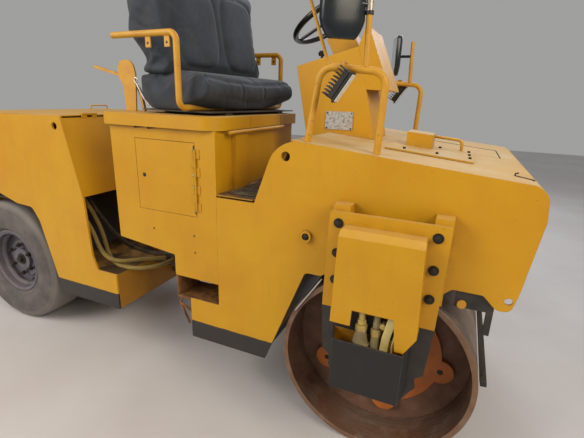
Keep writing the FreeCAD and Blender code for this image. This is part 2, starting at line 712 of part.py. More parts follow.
def lid_hinges():
    def wall_leaf(a, b):
        return box(LID_PIN_X - 4, LID_PIN_X + 4, a.y, b.y, LID_Z - 5, LID_PIN_Z)

    def lid_leaf(a, b):
        return box(LID_PIN_X - 60, LID_PIN_X, a.y, b.y, LID_PIN_Z - 8, LID_PIN_Z - 3)

    fixed = []
    moving = []
    for middle in (-430, 0, 430):
        start = (LID_PIN_X, middle - LID_HINGE / 2, LID_PIN_Z)
        end = (LID_PIN_X, middle + LID_HINGE / 2, LID_PIN_Z)
        parts = hinge(start, end, 8, 3.5, 3, wall_leaf, lid_leaf)
        fixed += parts[0]
        moving += parts[1]
    return fixed, moving


def rear_front_wall():
    wall = folded([WALL_FOOT, WALL_TOP], SHEET, "xz", -REAR_INNER_HALF, REAR_INNER_HALF)
    return joined([wall] + lid_hinges()[0])


def tail_lamp(side):
    y = side * TAIL_LAMP_Y
    return rod((TAIL_X + 5, y, TAIL_LAMP_Z), (TAIL_X + TAIL_LEAN + 15, y, TAIL_LAMP_Z), TAIL_LAMP_R)


def rear_tail():
    path = [(TAIL_X, REAR_ARCH_Z - 213), (TAIL_X + TAIL_LEAN, RAIL_TOP_Z - 35)]
    wall = folded(path, -PLATE, "xz", -REAR_INNER_HALF, REAR_INNER_HALF)
    for i in range(GRILLE_SLOTS):
        z = GRILLE_Z + GRILLE_PITCH * i
        wall = wall.cut(box(TAIL_X - 1, TAIL_X + 50, -GRILLE_HALF, GRILLE_HALF, z, z + 20))
    for side in (-1, 1):
        y = side * TAIL_LAMP_Y
        hole = rod((TAIL_X - 1, y, TAIL_LAMP_Z), (TAIL_X + 50, y, TAIL_LAMP_Z), TAIL_LAMP_R + JOIN)
        wall = wall.cut(hole)
    return wall


def rear_floor():
    half = REAR_INNER_HALF
    top = REAR_FLOOR_Z + PLATE
    floor = box(TAIL_X + 30, REAR_FLOOR_X, -half, half, REAR_FLOOR_Z, top)
    bay = [(BAY_X - JOIN, BOTTOM_Z), (BAY_X - JOIN, PLATFORM_Z), (REAR_FLOOR_X, top)]
    return joined([floor, folded(bay, PLATE, "xz", -half, half)])


def engine_lid():
    half = REAR_INNER_HALF - 2
    path = [(LID_PIN_X - 10, LID_Z + 7), (TAIL_X + 150, RAIL_TOP_Z - 2), (TAIL_X + 24, RAIL_TOP_Z - 23)]
    lid = folded(path, -SHEET, "xz", -half, half)
    for i in range(LID_SLOTS):
        x = LID_SLOT_X - LID_SLOT_PITCH * i
        lid = lid.cut(box(x - LID_SLOT_W, x, LID_EDGE - half, half - LID_EDGE, LID_Z - 60, LID_Z + 20))
    return joined([lid] + lid_hinges()[1])


ENGINE_BACK = 215.0
ENGINE_FRONT = 435.0
ENGINE_HALF = 230.0
ENGINE_BELOW_LID = 105.0


def engine_block():
    floor = REAR_FLOOR_Z + PLATE + JOIN
    return box(
        AXLE_REAR - ENGINE_BACK, AXLE_REAR + ENGINE_FRONT, -ENGINE_HALF, ENGINE_HALF,
        floor, LID_Z - ENGINE_BELOW_LID)


AXLE_HALF = 40.0
COLUMN_HALF = 110.0


def axle_column():
    column = box(
        AXLE_REAR - COLUMN_HALF, AXLE_REAR + COLUMN_HALF, -AXLE_HALF, AXLE_HALF, TYRE_R, REAR_FLOOR_Z)
    tube = rod_y(AXLE_REAR, TYRE_R, -AXLE_TUBE_HALF, AXLE_TUBE_HALF, AXLE_TUBE_R)
    return joined([column, rod_y(AXLE_REAR, TYRE_R, -AXLE_HALF, AXLE_HALF, AXLE_FLANGE_R), tube])


# Tyre section, one half: share of half the width, radius.
def tyre(centre_y):
    half = TYRE_WIDTH / 2
    right = [
        (0.78, RIM_R), (0.82, RIM_FLANGE_R), (1.0, TYRE_R - 120), (0.97, TYRE_R - 50),
        (0.86, TYRE_R - 14), (0.7, TYRE_R),
    ]
    profile = [(-half * share, radius) for share, radius in right]
    profile += [(half * share, radius) for share, radius in reversed(right)]
    return turned(profile, (AXLE_REAR, centre_y, TYRE_R), (0, 1, 0))


def rim(centre_y):
    """A dished disc wheel, its disc set towards the right side."""
    half = TYRE_WIDTH / 2 * 0.78
    inner = RIM_R - JOIN
    barrel = [(-half, inner), (half, inner), (half, inner - RIM_T), (-half, inner - RIM_T)]
    shell = turned(barrel, (AXLE_REAR, centre_y, TYRE_R), (0, 1, 0))
    disc_y = centre_y - DISC_SET
    disc = rod_y(AXLE_REAR, TYRE_R, disc_y - DISC_T / 2, disc_y + DISC_T / 2, inner - RIM_T / 2)
    bore = rod_y(AXLE_REAR, TYRE_R, disc_y - DISC_T, disc_y + DISC_T, AXLE_TUBE_R + RUN_FIT)
    return shell.fuse(disc.cut(bore))


def wheel_centres():
    outer = REAR_HALF_WIDTH - TYRE_INSET - TYRE_WIDTH / 2
    return outer, outer - TYRE_WIDTH - TWIN_GAP


def wheel_rims():
    outer, inner = wheel_centres()
    hub = rod_y(AXLE_REAR, TYRE_R, -outer - 40, -inner + 40, HUB_SLEEVE_R)
    hub = hub.cut(rod_y(AXLE_REAR, TYRE_R, -outer - 41, -inner + 41, AXLE_TUBE_R + RUN_FIT))
    cap = rod_y(AXLE_REAR, TYRE_R, -outer - 60, -outer - 40, CAP_R)
    shapes = [rim(-outer), rim(-inner), hub, cap]
    for i in range(LUG_COUNT):
        angle = math.radians(360.0 / LUG_COUNT * (i + 0.5))
        x = AXLE_REAR + LUG_PITCH_R * math.cos(angle)
        z = TYRE_R + LUG_PITCH_R * math.sin(angle)
        shapes.append(rod_y(x, z, -outer - 62, -outer - 20, LUG_R))
    return joined(shapes)


# Drum: rolled shell, a disc at each end set back in it, and a lobed hub plate on each disc.
def drum_shell():
    shell = rod_y(AXLE_FRONT, DRUM_R, -DRUM_HALF, DRUM_HALF, DRUM_R)
    return shell.cut(rod_y(AXLE_FRONT, DRUM_R, -DRUM_HALF - 1, DRUM_HALF + 1, DRUM_R - DRUM_WALL))


def drum_head():
    y = -(DRUM_HALF - DRUM_RECESS)
    return rod_y(AXLE_FRONT, DRUM_R, y, y + HEAD_T, DRUM_R - DRUM_WALL - JOIN)


def hub_plate():
    y1 = -(DRUM_HALF - DRUM_RECESS + JOIN)
    y0 = y1 - HUB_T
    lobes = []
    for i in range(HUB_LOBES):
        angle = 2 * math.pi / HUB_LOBES * i + HUB_TURN
        x = AXLE_FRONT + LOBE_PITCH_R * math.cos(angle)
        z = DRUM_R + LOBE_PITCH_R * math.sin(angle)
        lobes.append(rod_y(x, z, y0, y1, LOBE_R))
    return joined([rod_y(AXLE_FRONT, DRUM_R, y0, y1, HUB_R)] + lobes)


# Drum supports: two upright bars and a flange on each side, and below them the dark carrier
# of the drum motor.
FLANGE_TOP_Z = 1146.0
BAR_TOP_Z = 1168.0
BAR_LOW_Z = DRUM_TOP - 10.0
MOTOR_R = 80.0


def drum_support():
    back = FLANGE_Y + FLANGE_T
    bars = [box(AXLE_FRONT + x0, AXLE_FRONT + x1, back, -HALF_WIDTH - JOIN, BAR_LOW_Z, BAR_TOP_Z)
            for x0, x1 in ((-195, -128), (175, 238))]
    outline = [
        (AXLE_FRONT - 202, FLANGE_TOP_Z, 8), (AXLE_FRONT + 238, FLANGE_TOP_Z, 8),
        (AXLE_FRONT + 228, CARRIER_TOP_Z + JOIN), (AXLE_FRONT - 211, CARRIER_TOP_Z + JOIN),
    ]
    return joined([prism(outline, "xz", FLANGE_Y, back)] + bars)


def drum_carrier():
    low = DRUM_R - 52
    shoulder = CARRIER_TOP_Z - 204
    outline = [
        (AXLE_FRONT - 211, CARRIER_TOP_Z), (AXLE_FRONT - 197, shoulder), (AXLE_FRONT - 168, shoulder - 20),
        (AXLE_FRONT - 168, shoulder - 68), (AXLE_FRONT - 125, low), (AXLE_FRONT + 125, low),
        (AXLE_FRONT + 185, shoulder - 68), (AXLE_FRONT + 185, shoulder - 20),
        (AXLE_FRONT + 214, shoulder), (AXLE_FRONT + 228, CARRIER_TOP_Z),
    ]
    return prism(outline, "xz", FLANGE_Y, FLANGE_Y + FLANGE_T)


def drum_motor():
    end = -(DRUM_HALF - DRUM_RECESS + HUB_T + 2 * JOIN)
    return rod_y(AXLE_FRONT, DRUM_R, FLANGE_Y + FLANGE_T + JOIN, end, MOTOR_R)


# Cover over the flange, with a notch and a cut corner below, and the hose guard under it.
COVER_TOP_Z = 1102.0
COVER_CHAMFER = 24.0
NOTCH_TOP_Z = 794.0
TONGUE_Z = 666.0


def motor_cover():
    """A face and three side walls in sheet, with the top front edge cut away at 45 degrees."""
    front = -HALF_WIDTH - COVER_OUT
    back = FLANGE_Y - JOIN
    left = AXLE_FRONT - 141
    right = AXLE_FRONT + 161
    slope_z = COVER_TOP_Z - COVER_CHAMFER
    slope_y = front + COVER_CHAMFER
    foot_left = (AXLE_FRONT - 152, CARRIER_TOP_Z - 19)
    foot_right = (AXLE_FRONT + 174, CARRIER_TOP_Z - 9)
    face = [
        (left, COVER_TOP_Z, 8), (right, COVER_TOP_Z, 8), foot_right, (AXLE_FRONT + 134, TONGUE_Z),
        (AXLE_FRONT + 102, TONGUE_Z), (AXLE_FRONT + 87, NOTCH_TOP_Z), (AXLE_FRONT - 69, NOTCH_TOP_Z),
        (AXLE_FRONT - 72, foot_left[1]), foot_left,
    ]
    walls = [foot_left, (left, COVER_TOP_Z, 8), (right, COVER_TOP_Z, 8), foot_right]
    cover = joined([
        prism(face, "xz", front, front + SHEET), folded(walls, -SHEET, "xz", front + SHEET, back)])
    above = [(front - 1, slope_z - 1), (slope_y + 1, COVER_TOP_Z + 1), (front - 1, COVER_TOP_Z + 1)]
    strip = [
        (front, slope_z), (slope_y, COVER_TOP_Z), (slope_y + 2, COVER_TOP_Z - SHEET),
        (front + SHEET, slope_z - 2)]
    edge = prism(strip, "yz", left, right).common(prism(face, "xz", front, back))
    return joined([cover.cut(prism(above, "yz", left - 1, right + 1)), edge])


GUARD_TOP_Z = 666.0
GUARD_LOW_Z = 447.0


def hose_guard():
    """An open-topped tray with splayed side walls."""
    front = -HALF_WIDTH - GUARD_OUT
    back = FLANGE_Y - JOIN
    outer = [
        (AXLE_FRONT - 131, front), (AXLE_FRONT + 137, front),
        (AXLE_FRONT + 156, back), (AXLE_FRONT - 158, back)]
    inner = [
        (AXLE_FRONT - 131 + SHEET, front + SHEET), (AXLE_FRONT + 137 - SHEET, front + SHEET),
        (AXLE_FRONT + 156 - SHEET, back - SHEET), (AXLE_FRONT - 158 + SHEET, back - SHEET)]
    return prism(outer, "xy", GUARD_LOW_Z, GUARD_TOP_Z).cut(
        prism(inner, "xy", GUARD_LOW_Z + SHEET, GUARD_TOP_Z + 1))


# Front scraper: a cross tube and end plates under the nose, straight arms that hang from a
# cross bar, and a blade that clears the drum.
BLADE_GAP = 6.0
BLADE_T = 24.0
BLADE_LOW = 6.0
BLADE_HIGH = 9.0
SCRAPER_TUBE_GAP = 82.0
SCRAPER_TUBE_R = 16.5
SCRAPER_TUBE_OUT = 4.0     # how far the tube's ends stand out past the end plates
SCRAPER_ANGLE = 52.8
SCRAPER_BAR = (52.0, 84.0, -14.0, 30.0)   # from the tube: rear, front, lower and upper face
ARM_PLACES = (-560.0, -190.0, 190.0, 560.0)
ARM_W = 12.0
ARM_DEPTH = 15.0
ARM_GAP = 8.0
END_PLATE_T = 10.0
END_TAB = (86.0, 110.0, -108.0)           # small tab hanging from each end plate


def round_drum(radius, degrees):
    angle = math.radians(degrees)
    return V(AXLE_FRONT + radius * math.cos(angle), 0, DRUM_R + radius * math.sin(angle))


def drum_band(r0, r1, low, high, y0, y1):
    """A strip bent round the drum's axle between two radii and two angles."""
    middle = (low + high) / 2
    outer = [round_drum(r1, a) for a in (low, middle, high)]
    inner = [round_drum(r0, a) for a in (high, middle, low)]
    edges = [
        Part.Arc(*outer).toShape(), Part.LineSegment(outer[2], inner[0]).toShape(),
        Part.Arc(*inner).toShape(), Part.LineSegment(inner[2], outer[0]).toShape(),
    ]
    strip = Part.Face(Part.Wire(edges)).extrude(V(0, y1 - y0, 0))
    strip.translate(V(0, y0, 0))
    return strip


def front_scraper():
    at = round_drum(DRUM_R + SCRAPER_TUBE_GAP, SCRAPER_ANGLE)
    end = INNER_HALF - JOIN
    reach = end + SCRAPER_TUBE_OUT
    rear, front, low, high = SCRAPER_BAR
    tab_rear, tab_front, tab_low = END_TAB
    shapes = [
        rod_y(at.x, at.z, -reach, reach, SCRAPER_TUBE_R),
        box(at.x + rear, at.x + front, -end, end, at.z + low, at.z + high)]
    plate_low = at.z + low
    plate_high = DRUM_TOP + 110
    outline = [
        (at.x - 26, plate_low), (at.x + tab_rear, plate_low), (at.x + tab_rear, at.z + tab_low),
        (at.x + tab_front, at.z + tab_low), (at.x + tab_front, plate_high), (at.x - 26, plate_high)]
    plate = prism(outline, "xz", -end, -end + END_PLATE_T)
    shapes += both_sides(plate)
    foot = round_drum(DRUM_R + ARM_GAP, (BLADE_LOW + BLADE_HIGH) / 2)
    foot_z = foot.z - 20
    arm = [
        (at.x + rear + 2, plate_low + 1), (foot.x, foot_z), (foot.x + ARM_DEPTH, foot_z),
        (at.x + rear + 2 + ARM_DEPTH, plate_low + 1)]
    for y in ARM_PLACES:
        shapes.append(prism(arm, "xz", y - ARM_W / 2, y + ARM_W / 2))
    blade_end = DRUM_HALF - 26
    shapes.append(drum_band(
        DRUM_R + BLADE_GAP, DRUM_R + BLADE_GAP + BLADE_T, BLADE_LOW, BLADE_HIGH, -blade_end, blade_end))
    return joined(shapes)


# Console on the hood's rear end, its front cowl in two halves, steering column and wheel
CONSOLE_HALF = 150.0
CONSOLE_TOP = (942.0, 1793.0)
CONSOLE_REAR = (629.0, 1705.0)
COWL_FOOT_Z = 1600.0
COWL_SEAM_Y = -20.0
WHEEL_AT = (760.0, 0.0, 1950.0)
WHEEL_TILT = math.radians(30.0)
WHEEL_R = 215.0
WHEEL_GRIP_R = 14.0
WHEEL_HUB_R = 38.0
WHEEL_SPOKES = 3
COLUMN_R = 32.0
COLUMN_LENGTH = 260.0
HOUSING = (130.0, 120.0, 130.0)


def console_box():
    outline = [
        (701, 1345), CONSOLE_REAR, CONSOLE_TOP, (985, 1634), (1056, hood_z(1056) + JOIN),
        (HOOD_X0, HOOD_Z + JOIN)]
    return prism(outline, "xz", -CONSOLE_HALF, CONSOLE_HALF)


def console_cover():
    top_x, top_z = CONSOLE_TOP
    outline = [
        (top_x + JOIN, top_z), (top_x + 24, top_z + 79), (top_x + 42, top_z + 85, 3),
        (top_x + 162, COWL_FOOT_Z - 4, 3), (top_x + 52, COWL_FOOT_Z)]
    cowl = prism(outline, "xz", -CONSOLE_HALF, CONSOLE_HALF)
    seam = box(top_x + 20, top_x + 200, COWL_SEAM_Y, COWL_SEAM_Y + SEAM_W, COWL_FOOT_Z - 10, top_z + 90)
    behind = prism([(p[0] - 5, p[1] - 1) for p in outline], "xz", -CONSOLE_HALF, CONSOLE_HALF)
    return cowl.cut(seam.cut(behind)).cut(console_box())


def steering_axis():
    return V(-math.sin(WHEEL_TILT), 0, math.cos(WHEEL_TILT))


def steering_column():
    axis = steering_axis()
    top = V(*WHEEL_AT) - axis * (25 + JOIN)
    shaft = rod(tuple(top - axis * COLUMN_LENGTH), tuple(top), COLUMN_R)
    length, width, height = HOUSING
    housing = Part.makeBox(length, width, height, V(-length / 2, -width / 2, -height))
    housing.rotate(V(0, 0, 0), V(0, 1, 0), -math.degrees(WHEEL_TILT))
    housing.translate(top - axis * 70)
    return largest(shaft.fuse(housing).cut(console_box()).removeSplitter())


def steering_wheel():
    axis = steering_axis()
    centre = V(*WHEEL_AT)
    grip = Part.makeTorus(WHEEL_R, WHEEL_GRIP_R, centre, axis)
    hub = rod(tuple(centre - axis * 25), tuple(centre + axis * 20), WHEEL_HUB_R)
    side = V(0, 1, 0)
    across = axis.cross(side)
    spokes = []
    for i in range(WHEEL_SPOKES):
        angle = 2 * math.pi * (i / WHEEL_SPOKES + 0.25)
        out = side * math.cos(angle) + across * math.sin(angle)
        spokes.append(rod(tuple(centre), tuple(centre + out * WHEEL_R), 8))
    return joined([grip, hub] + spokes)


# Handrails, lamps, mirrors and the right rail's upright stay
RAIL_Y = HALF_WIDTH - 50.0
RAIL_R = 14.0
RAIL_TOP = 1668.0
LAMP_OUT = 36.0
LAMP = (60.0, 44.0, 124.0)
LAMP_AT = {-1: (1004.0, 1605.0), 1: (1020.0, 1605.0)}
STALK_R = 11.0
STALK_X = 1094.0
STALK_TOP_Z = {-1: 1990.0, 1: 1905.0}
STAY_R = 6.5
STAY_TOP = (768.0, 2160.0)
STAY_FOOT = (955.0, 1677.0)
MIRROR = (170.0, 45.0, 235.0)
MIRROR_AT = {-1: (1010.0, 50.0, 1752.0), 1: (996.0, 0.0, 1704.0)}
MIRROR_YAW = {-1: 37.0, 1: 72.0}


def largest(shape):
    return max(shape.Solids, key=lambda solid: solid.Volume)


def handrail(side):
    y = side * RAIL_Y
    points = [(875, y, 1370), (919, y, RAIL_TOP), (1171, y, RAIL_TOP - 18), (1161, y, 1340)]
    return bent_tube(points, RAIL_R, 55).cut(below_hood())


def work_lamp(side):
    y = side * (RAIL_Y + LAMP_OUT)
    length, depth, height = LAMP
    x, z = LAMP_AT[side]
    body = Part.makeBox(length, depth, height, V(-length / 2, -depth / 2, -height / 2))
    body.rotate(V(0, 0, 0), V(0, 1, 0), 34)
    body.translate(V(x, y, z))
    top = V(x + 8, y, RAIL_TOP)
    y0, y1 = sorted((side * RAIL_Y, y))
    clip = box(top.x - 12, top.x + 12, y0, y1, RAIL_TOP + 8, RAIL_TOP + 16)
    drop = box(top.x - 12, top.x + 12, y - 4, y + 4, z + 15, RAIL_TOP + 16)
    return joined([body, clip, drop]).cut(handrail(side))


def mirror_stalk(side):
    y = side * RAIL_Y
    tube = rod((STALK_X, y, RAIL_TOP - 30), (STALK_X - 8, y, STALK_TOP_Z[side]), STALK_R)
    return largest(tube.cut(handrail(side)))


def rail_stay():
    tube = rod((STAY_FOOT[0], -RAIL_Y, STAY_FOOT[1] - 20), (STAY_TOP[0], -RAIL_Y, STAY_TOP[1]), STAY_R)
    return largest(tube.cut(handrail(-1)))


def mirror(side):
    width, depth, height = MIRROR
    x, out, z = MIRROR_AT[side]
    outline = [
        (-width / 2, 0, 35), (width / 2, 0, 35), (width / 2, height, 35), (-width / 2, height, 35)]
    body = prism(outline, "xz", -depth / 2, depth / 2)
    body.rotate(V(0, 0, 0), V(0, 0, 1), -side * MIRROR_YAW[side])
    body.translate(V(x, side * (RAIL_Y + out), z))
    arm_z = z + height / 2
    arm = rod((STALK_X - 4, side * RAIL_Y, arm_z), (x + 15, side * (RAIL_Y + out), arm_z), 9)
    return joined([body, arm]).cut(mirror_stalk(side))


# Seat: runners and pan, one wide cushion and back, and the tube that bends round under the
# cushion into both armrests. The whole seat stands a little askew on the tray.
SEAT_X = 190.0
SEAT_Y = -160.0
SEAT_HALF = 430.0
SEAT_YAW = -4.5
RUNNER_T = 12.0
PAN_T = 6.0
SEAT_TUBE_R = 14.0
SEAT_BAR_X = 297.0
ARM_OUT = 28.0
ARM_TOP_Z = 1804.0
ARM_REAR_X = -100.0
CUSHION_TOP_Z = 1640.0
CUSHION_X1 = 435.0
BACK_TOP_Z = 2160.0
PAN_Z = TRAY_Z + RUNNER_T
PAN_TOP_Z = PAN_Z + PAN_T
SEAT_BAR_Z = PAN_TOP_Z + SEAT_TUBE_R + JOIN


def askew(shape):
    turned_shape = shape.copy()
    turned_shape.rotate(V(SEAT_X, SEAT_Y, 0), V(0, 0, 1), SEAT_YAW)
    return turned_shape


def seat_base():
    """Two floor runners, the pan that carries the cushion and two flat arms to the back."""
    runners = [box(20, 420, y - 25, y + 25, TRAY_Z, PAN_Z) for y in (SEAT_Y - 250, SEAT_Y + 250)]
    pan = box(0, 425, SEAT_Y - SEAT_HALF + 30, SEAT_Y + SEAT_HALF - 30, PAN_Z, PAN_TOP_Z)
    arms = [box(-40, 0, y - 25, y + 25, PAN_Z, CUSHION_TOP_Z + 60) for y in (SEAT_Y - 200, SEAT_Y + 200)]
    return joined(runners + [pan] + arms)


def seat_cushion():
    low = PAN_TOP_Z + JOIN
    notch_x = SEAT_BAR_X - SEAT_TUBE_R - 8
    raised = SEAT_BAR_Z + SEAT_TUBE_R + JOIN
    outline = [
        (JOIN, low), (notch_x, low), (notch_x, raised), (CUSHION_X1, raised, 25),
        (CUSHION_X1, CUSHION_TOP_Z - 8, 50), (JOIN, CUSHION_TOP_Z),
    ]
    return prism(outline, "xz", SEAT_Y - SEAT_HALF + 5, SEAT_Y + SEAT_HALF - 5)


def seat_back():
    low = CUSHION_TOP_Z + JOIN
    outline = [
        (JOIN, low), (190, low), (122, BACK_TOP_Z, 60), (-107, BACK_TOP_Z, 60),
        (-87, CUSHION_TOP_Z + 195, 120), (JOIN, CUSHION_TOP_Z + 62)]
    return prism(outline, "xz", SEAT_Y - SEAT_HALF + 10, SEAT_Y + SEAT_HALF - 10)


def seat_frame():
    reach = SEAT_HALF + ARM_OUT
    right = SEAT_Y - reach
    left = SEAT_Y + reach
    points = [
        (ARM_REAR_X, right, ARM_TOP_Z), (SEAT_BAR_X, right, ARM_TOP_Z), (SEAT_BAR_X, right, SEAT_BAR_Z),
        (SEAT_BAR_X, left, SEAT_BAR_Z), (SEAT_BAR_X, left, ARM_TOP_Z), (ARM_REAR_X, left, ARM_TOP_Z),
    ]
    return bent_tube(points, SEAT_TUBE_R, 36)


# Behind the seat: a round-topped upright plate and a bent flat lever, both on the tray.
PADDLE_Y = -500.0
PADDLE_T = 8.0
LEVER_T = 14.0
LEVER_GAP = 6.0


def paddle():
    foot = TRAY_Z + JOIN
    outline = [
        (-185, foot), (-118, foot), (-105, foot + 182, 60), (-125, foot + 250, 45), (-215, foot + 245, 45),
        (-225, foot + 180, 60), (-192, foot + 122, 30)]
    plate = prism(outline, "xz", PADDLE_Y, PADDLE_Y + PADDLE_T)
    path = [(-405, foot + 210), (-215, foot + 166, 150), (-110, foot + 110, 60), (-87, foot)]
    low = PADDLE_Y + PADDLE_T + LEVER_GAP
    return [plate, folded(path, LEVER_T, "xz", low, low + LEVER_T)]


# Hoses from a block on the right rear side plate, over the platform's front edge, to a block
# carried ahead of it beside the pivot. Each point is (x, y, z).
HOSE_R = 12.0
FERRULE_L = 36.0
BLOCK_FACE_X = -635.0
PORT_Y = -345.0
HOSE_ROUTES = {
    "hose_long": [
        (BLOCK_FACE_X, -478, 938), (-573, -480, 874), (-503, -490, 785), (-452, -503, 703),
        (-425, -515, 640), (-387, -527, 591), (-325, -537, 562), (-245, -535, 560), (-165, -508, 562),
        (-108, -455, 566), (-80, -395, 570), (-72, PORT_Y, 574),
    ],
    "hose_near": [
        (BLOCK_FACE_X, -545, 916), (-580, -547, 864), (-517, -550, 800), (-468, -556, 734),
        (-436, -562, 672), (-394, -564, 622), (-341, -555, 596), (-288, -526, 590), (-245, -478, 588),
        (-203, -428, 585), (-160, -388, 580), (-132, PORT_Y, 575),
    ],
    "hose_dark": [
        (BLOCK_FACE_X, -440, 942), (-596, -436, 874), (-548, -428, 803), (-490, -418, 729),
        (-425, -400, 659), (-348, -372, 608), (-262, -345, 588), (-190, -328, 588), (-140, -320, 594),
    ],
}


def hose(points):
    """A tube whose arcs are as large as the runs beside them allow."""
    path = [V(*p) for p in points]
    bends = []
    for before, at, after in zip(path, path[1:], path[2:]):
        turn = (at - before).getAngle(after - at)
        shorter = min((at - before).Length, (after - at).Length)
        bends.append(0.45 * shorter / math.tan(turn / 2))
    print("least bend radius", round(min(bends)), "mm")
    return tube_along(points, HOSE_R, bends)


def ferrule(points, end, into, length=FERRULE_L):
    """The sleeve that holds a hose's end; its length runs back into the block."""
    at = V(*points[end])
    out = (at - V(*points[into])).normalize()
    return rod(tuple(at), tuple(at + out * length), HOSE_R + 3)


def hose_blocks():
    """The block on the side plate, and the bulkhead on its shelf ahead of the platform."""
    wall_y = -REAR_INNER_HALF + JOIN
    inside = box(BLOCK_FACE_X - 60, BLOCK_FACE_X - FERRULE_L / 2, wall_y, -400, 880, 1000)
    shelf = box(PLATFORM_X + JOIN, -50, PORT_Y + FERRULE_L / 2, PORT_Y + 45, 520, 532)
    bulkhead = box(-122, -50, PORT_Y + FERRULE_L / 2, PORT_Y + 45, 532, 620)
    routes = HOSE_ROUTES.values()
    upper = joined([inside] + [ferrule(points, 0, 1) for points in routes])
    lower = joined([shelf, bulkhead] + [ferrule(points, -1, -2) for points in routes])
    return [upper, lower]


def main():
    side = front_side_plate()
    rear_side = rear_side_plate()
    support = drum_support()
    rims = wheel_rims()
    outer, inner = wheel_centres()
    frame = askew(seat_frame())
    nodes = {
        "side_plate_right": side,
        "side_plate_left": mirror_y(side),
        "drain_tubes": both_sides(drain_tube()),
        "frame_crossmember": frame_crossmember(),
        "footwell_floor": footwell(),
        "hood_shell": hood_shell(),
        "hood_hatch": hood_hatch(),
        "hood_cover": hood_cover(),
        "operator_pedestal": pedestal(),
        "pedestal_door": pedestal_door(),
        "pedestal_top": top_tray(),
        "left_deck": left_deck(),
        "steps": both_sides(step()),
        "pivot_yoke": pivot_yoke(),
        "pivot_pin": pivot_pin(),
        "pivot_knuckle": pivot_knuckle(),
        "steer_barrel": steer_barrel(),
        "steer_rod": steer_rod(),
        "rear_platform": rear_platform(),
        "rear_side_plate_right": rear_side,
        "rear_side_plate_left": mirror_y(rear_side),
        "rear_front_wall": rear_front_wall(),
        "rear_tail": rear_tail(),
        "tail_lamps": [tail_lamp(-1), tail_lamp(1)],
        "rear_floor": rear_floor(),
        "engine_lid": engine_lid(),
        "engine_block": engine_block(),
        "axle_column": axle_column(),
        "tyres_right": [tyre(-outer), tyre(-inner)],
        "tyres_left": [tyre(outer), tyre(inner)],
        "wheel_rims_right": rims,
        "wheel_rims_left": mirror_y(rims),
        "drum_shell": drum_shell(),
        "drum_heads": both_sides(drum_head()),
        "drum_hubs": both_sides(hub_plate()),
        "drum_support_right": support,
        "drum_support_left": mirror_y(support),
        "drum_carriers": both_sides(drum_carrier()),
        "drum_motors": both_sides(drum_motor()),
        "motor_covers": both_sides(motor_cover()),
        "hose_guards": both_sides(hose_guard()),
        "front_scraper": front_scraper(),
        "console_box": console_box(),
        "console_cover": console_cover(),
        "steering_column": steering_column(),
        "steering_wheel": steering_wheel(),
        "handrails": [handrail(-1), handrail(1), grab_bar()],
        "work_lamps": [work_lamp(-1), work_lamp(1)],
        "mirror_stalks": [mirror_stalk(-1), mirror_stalk(1), rail_stay()],
        "mirrors": [mirror(-1), mirror(1)],
        "seat_base": askew(seat_base()),
        "seat_cushion": askew(seat_cushion()),
        "seat_back": askew(seat_back()),
        "seat_frame": frame,
        "seat_lever": paddle(),
        "hose_blocks": hose_blocks(),
    }
    for name, points in HOSE_ROUTES.items():
        nodes[name] = hose(points)
    for name, shapes in nodes.items():
        save(name, shapes)


main()
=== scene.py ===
import math

import bmesh
import bpy
from mathutils import Matrix, Vector


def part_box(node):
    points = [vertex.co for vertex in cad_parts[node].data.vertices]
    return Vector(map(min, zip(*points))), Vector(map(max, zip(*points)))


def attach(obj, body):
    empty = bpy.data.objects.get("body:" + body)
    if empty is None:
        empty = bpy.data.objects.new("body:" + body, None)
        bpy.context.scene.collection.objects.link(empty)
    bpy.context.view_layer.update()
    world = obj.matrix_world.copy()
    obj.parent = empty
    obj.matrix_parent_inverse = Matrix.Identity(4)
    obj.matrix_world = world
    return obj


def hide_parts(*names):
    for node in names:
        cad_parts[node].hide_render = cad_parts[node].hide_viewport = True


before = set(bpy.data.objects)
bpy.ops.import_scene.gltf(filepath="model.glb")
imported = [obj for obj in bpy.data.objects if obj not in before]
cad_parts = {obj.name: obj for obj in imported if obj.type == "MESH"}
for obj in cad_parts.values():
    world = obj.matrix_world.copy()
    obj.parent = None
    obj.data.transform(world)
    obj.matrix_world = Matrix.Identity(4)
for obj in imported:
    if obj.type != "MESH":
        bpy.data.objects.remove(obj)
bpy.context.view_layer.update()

bl_info = {
    "name": "Articulated road roller",
    "version": (1, 0, 0),
    "blender": (4, 5, 0),
    "location": "3D View > Sidebar > Roller",
    "description": "Dresses the roller's frame with finishes, seat, tyres, fasteners, hoses and a stage",
    "category": "Object",
}

# The machine stands on the ground at z = 0 with +X forward. Tables are in millimetres, as on the
# drawing, and become metres where a mesh is made.
MM = 0.001

# Places read from the frame
DRUM_LOW, DRUM_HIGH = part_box("drum_shell")
TYRE_LOW, TYRE_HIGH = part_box("tyres_right")
SIDE_LOW, SIDE_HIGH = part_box("side_plate_right")
REAR_LOW, REAR_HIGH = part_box("rear_side_plate_right")
DRUM_R = (DRUM_HIGH.z - DRUM_LOW.z) / 2
DRUM_AXLE = Vector(((DRUM_LOW.x + DRUM_HIGH.x) / 2, 0, DRUM_R))
TYRE_R = (TYRE_HIGH.z - TYRE_LOW.z) / 2
TYRE_AXLE = Vector(((TYRE_LOW.x + TYRE_HIGH.x) / 2, 0, TYRE_R))
HALF_WIDTH = -SIDE_LOW.y
TRAY_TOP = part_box("pedestal_top")[1].z


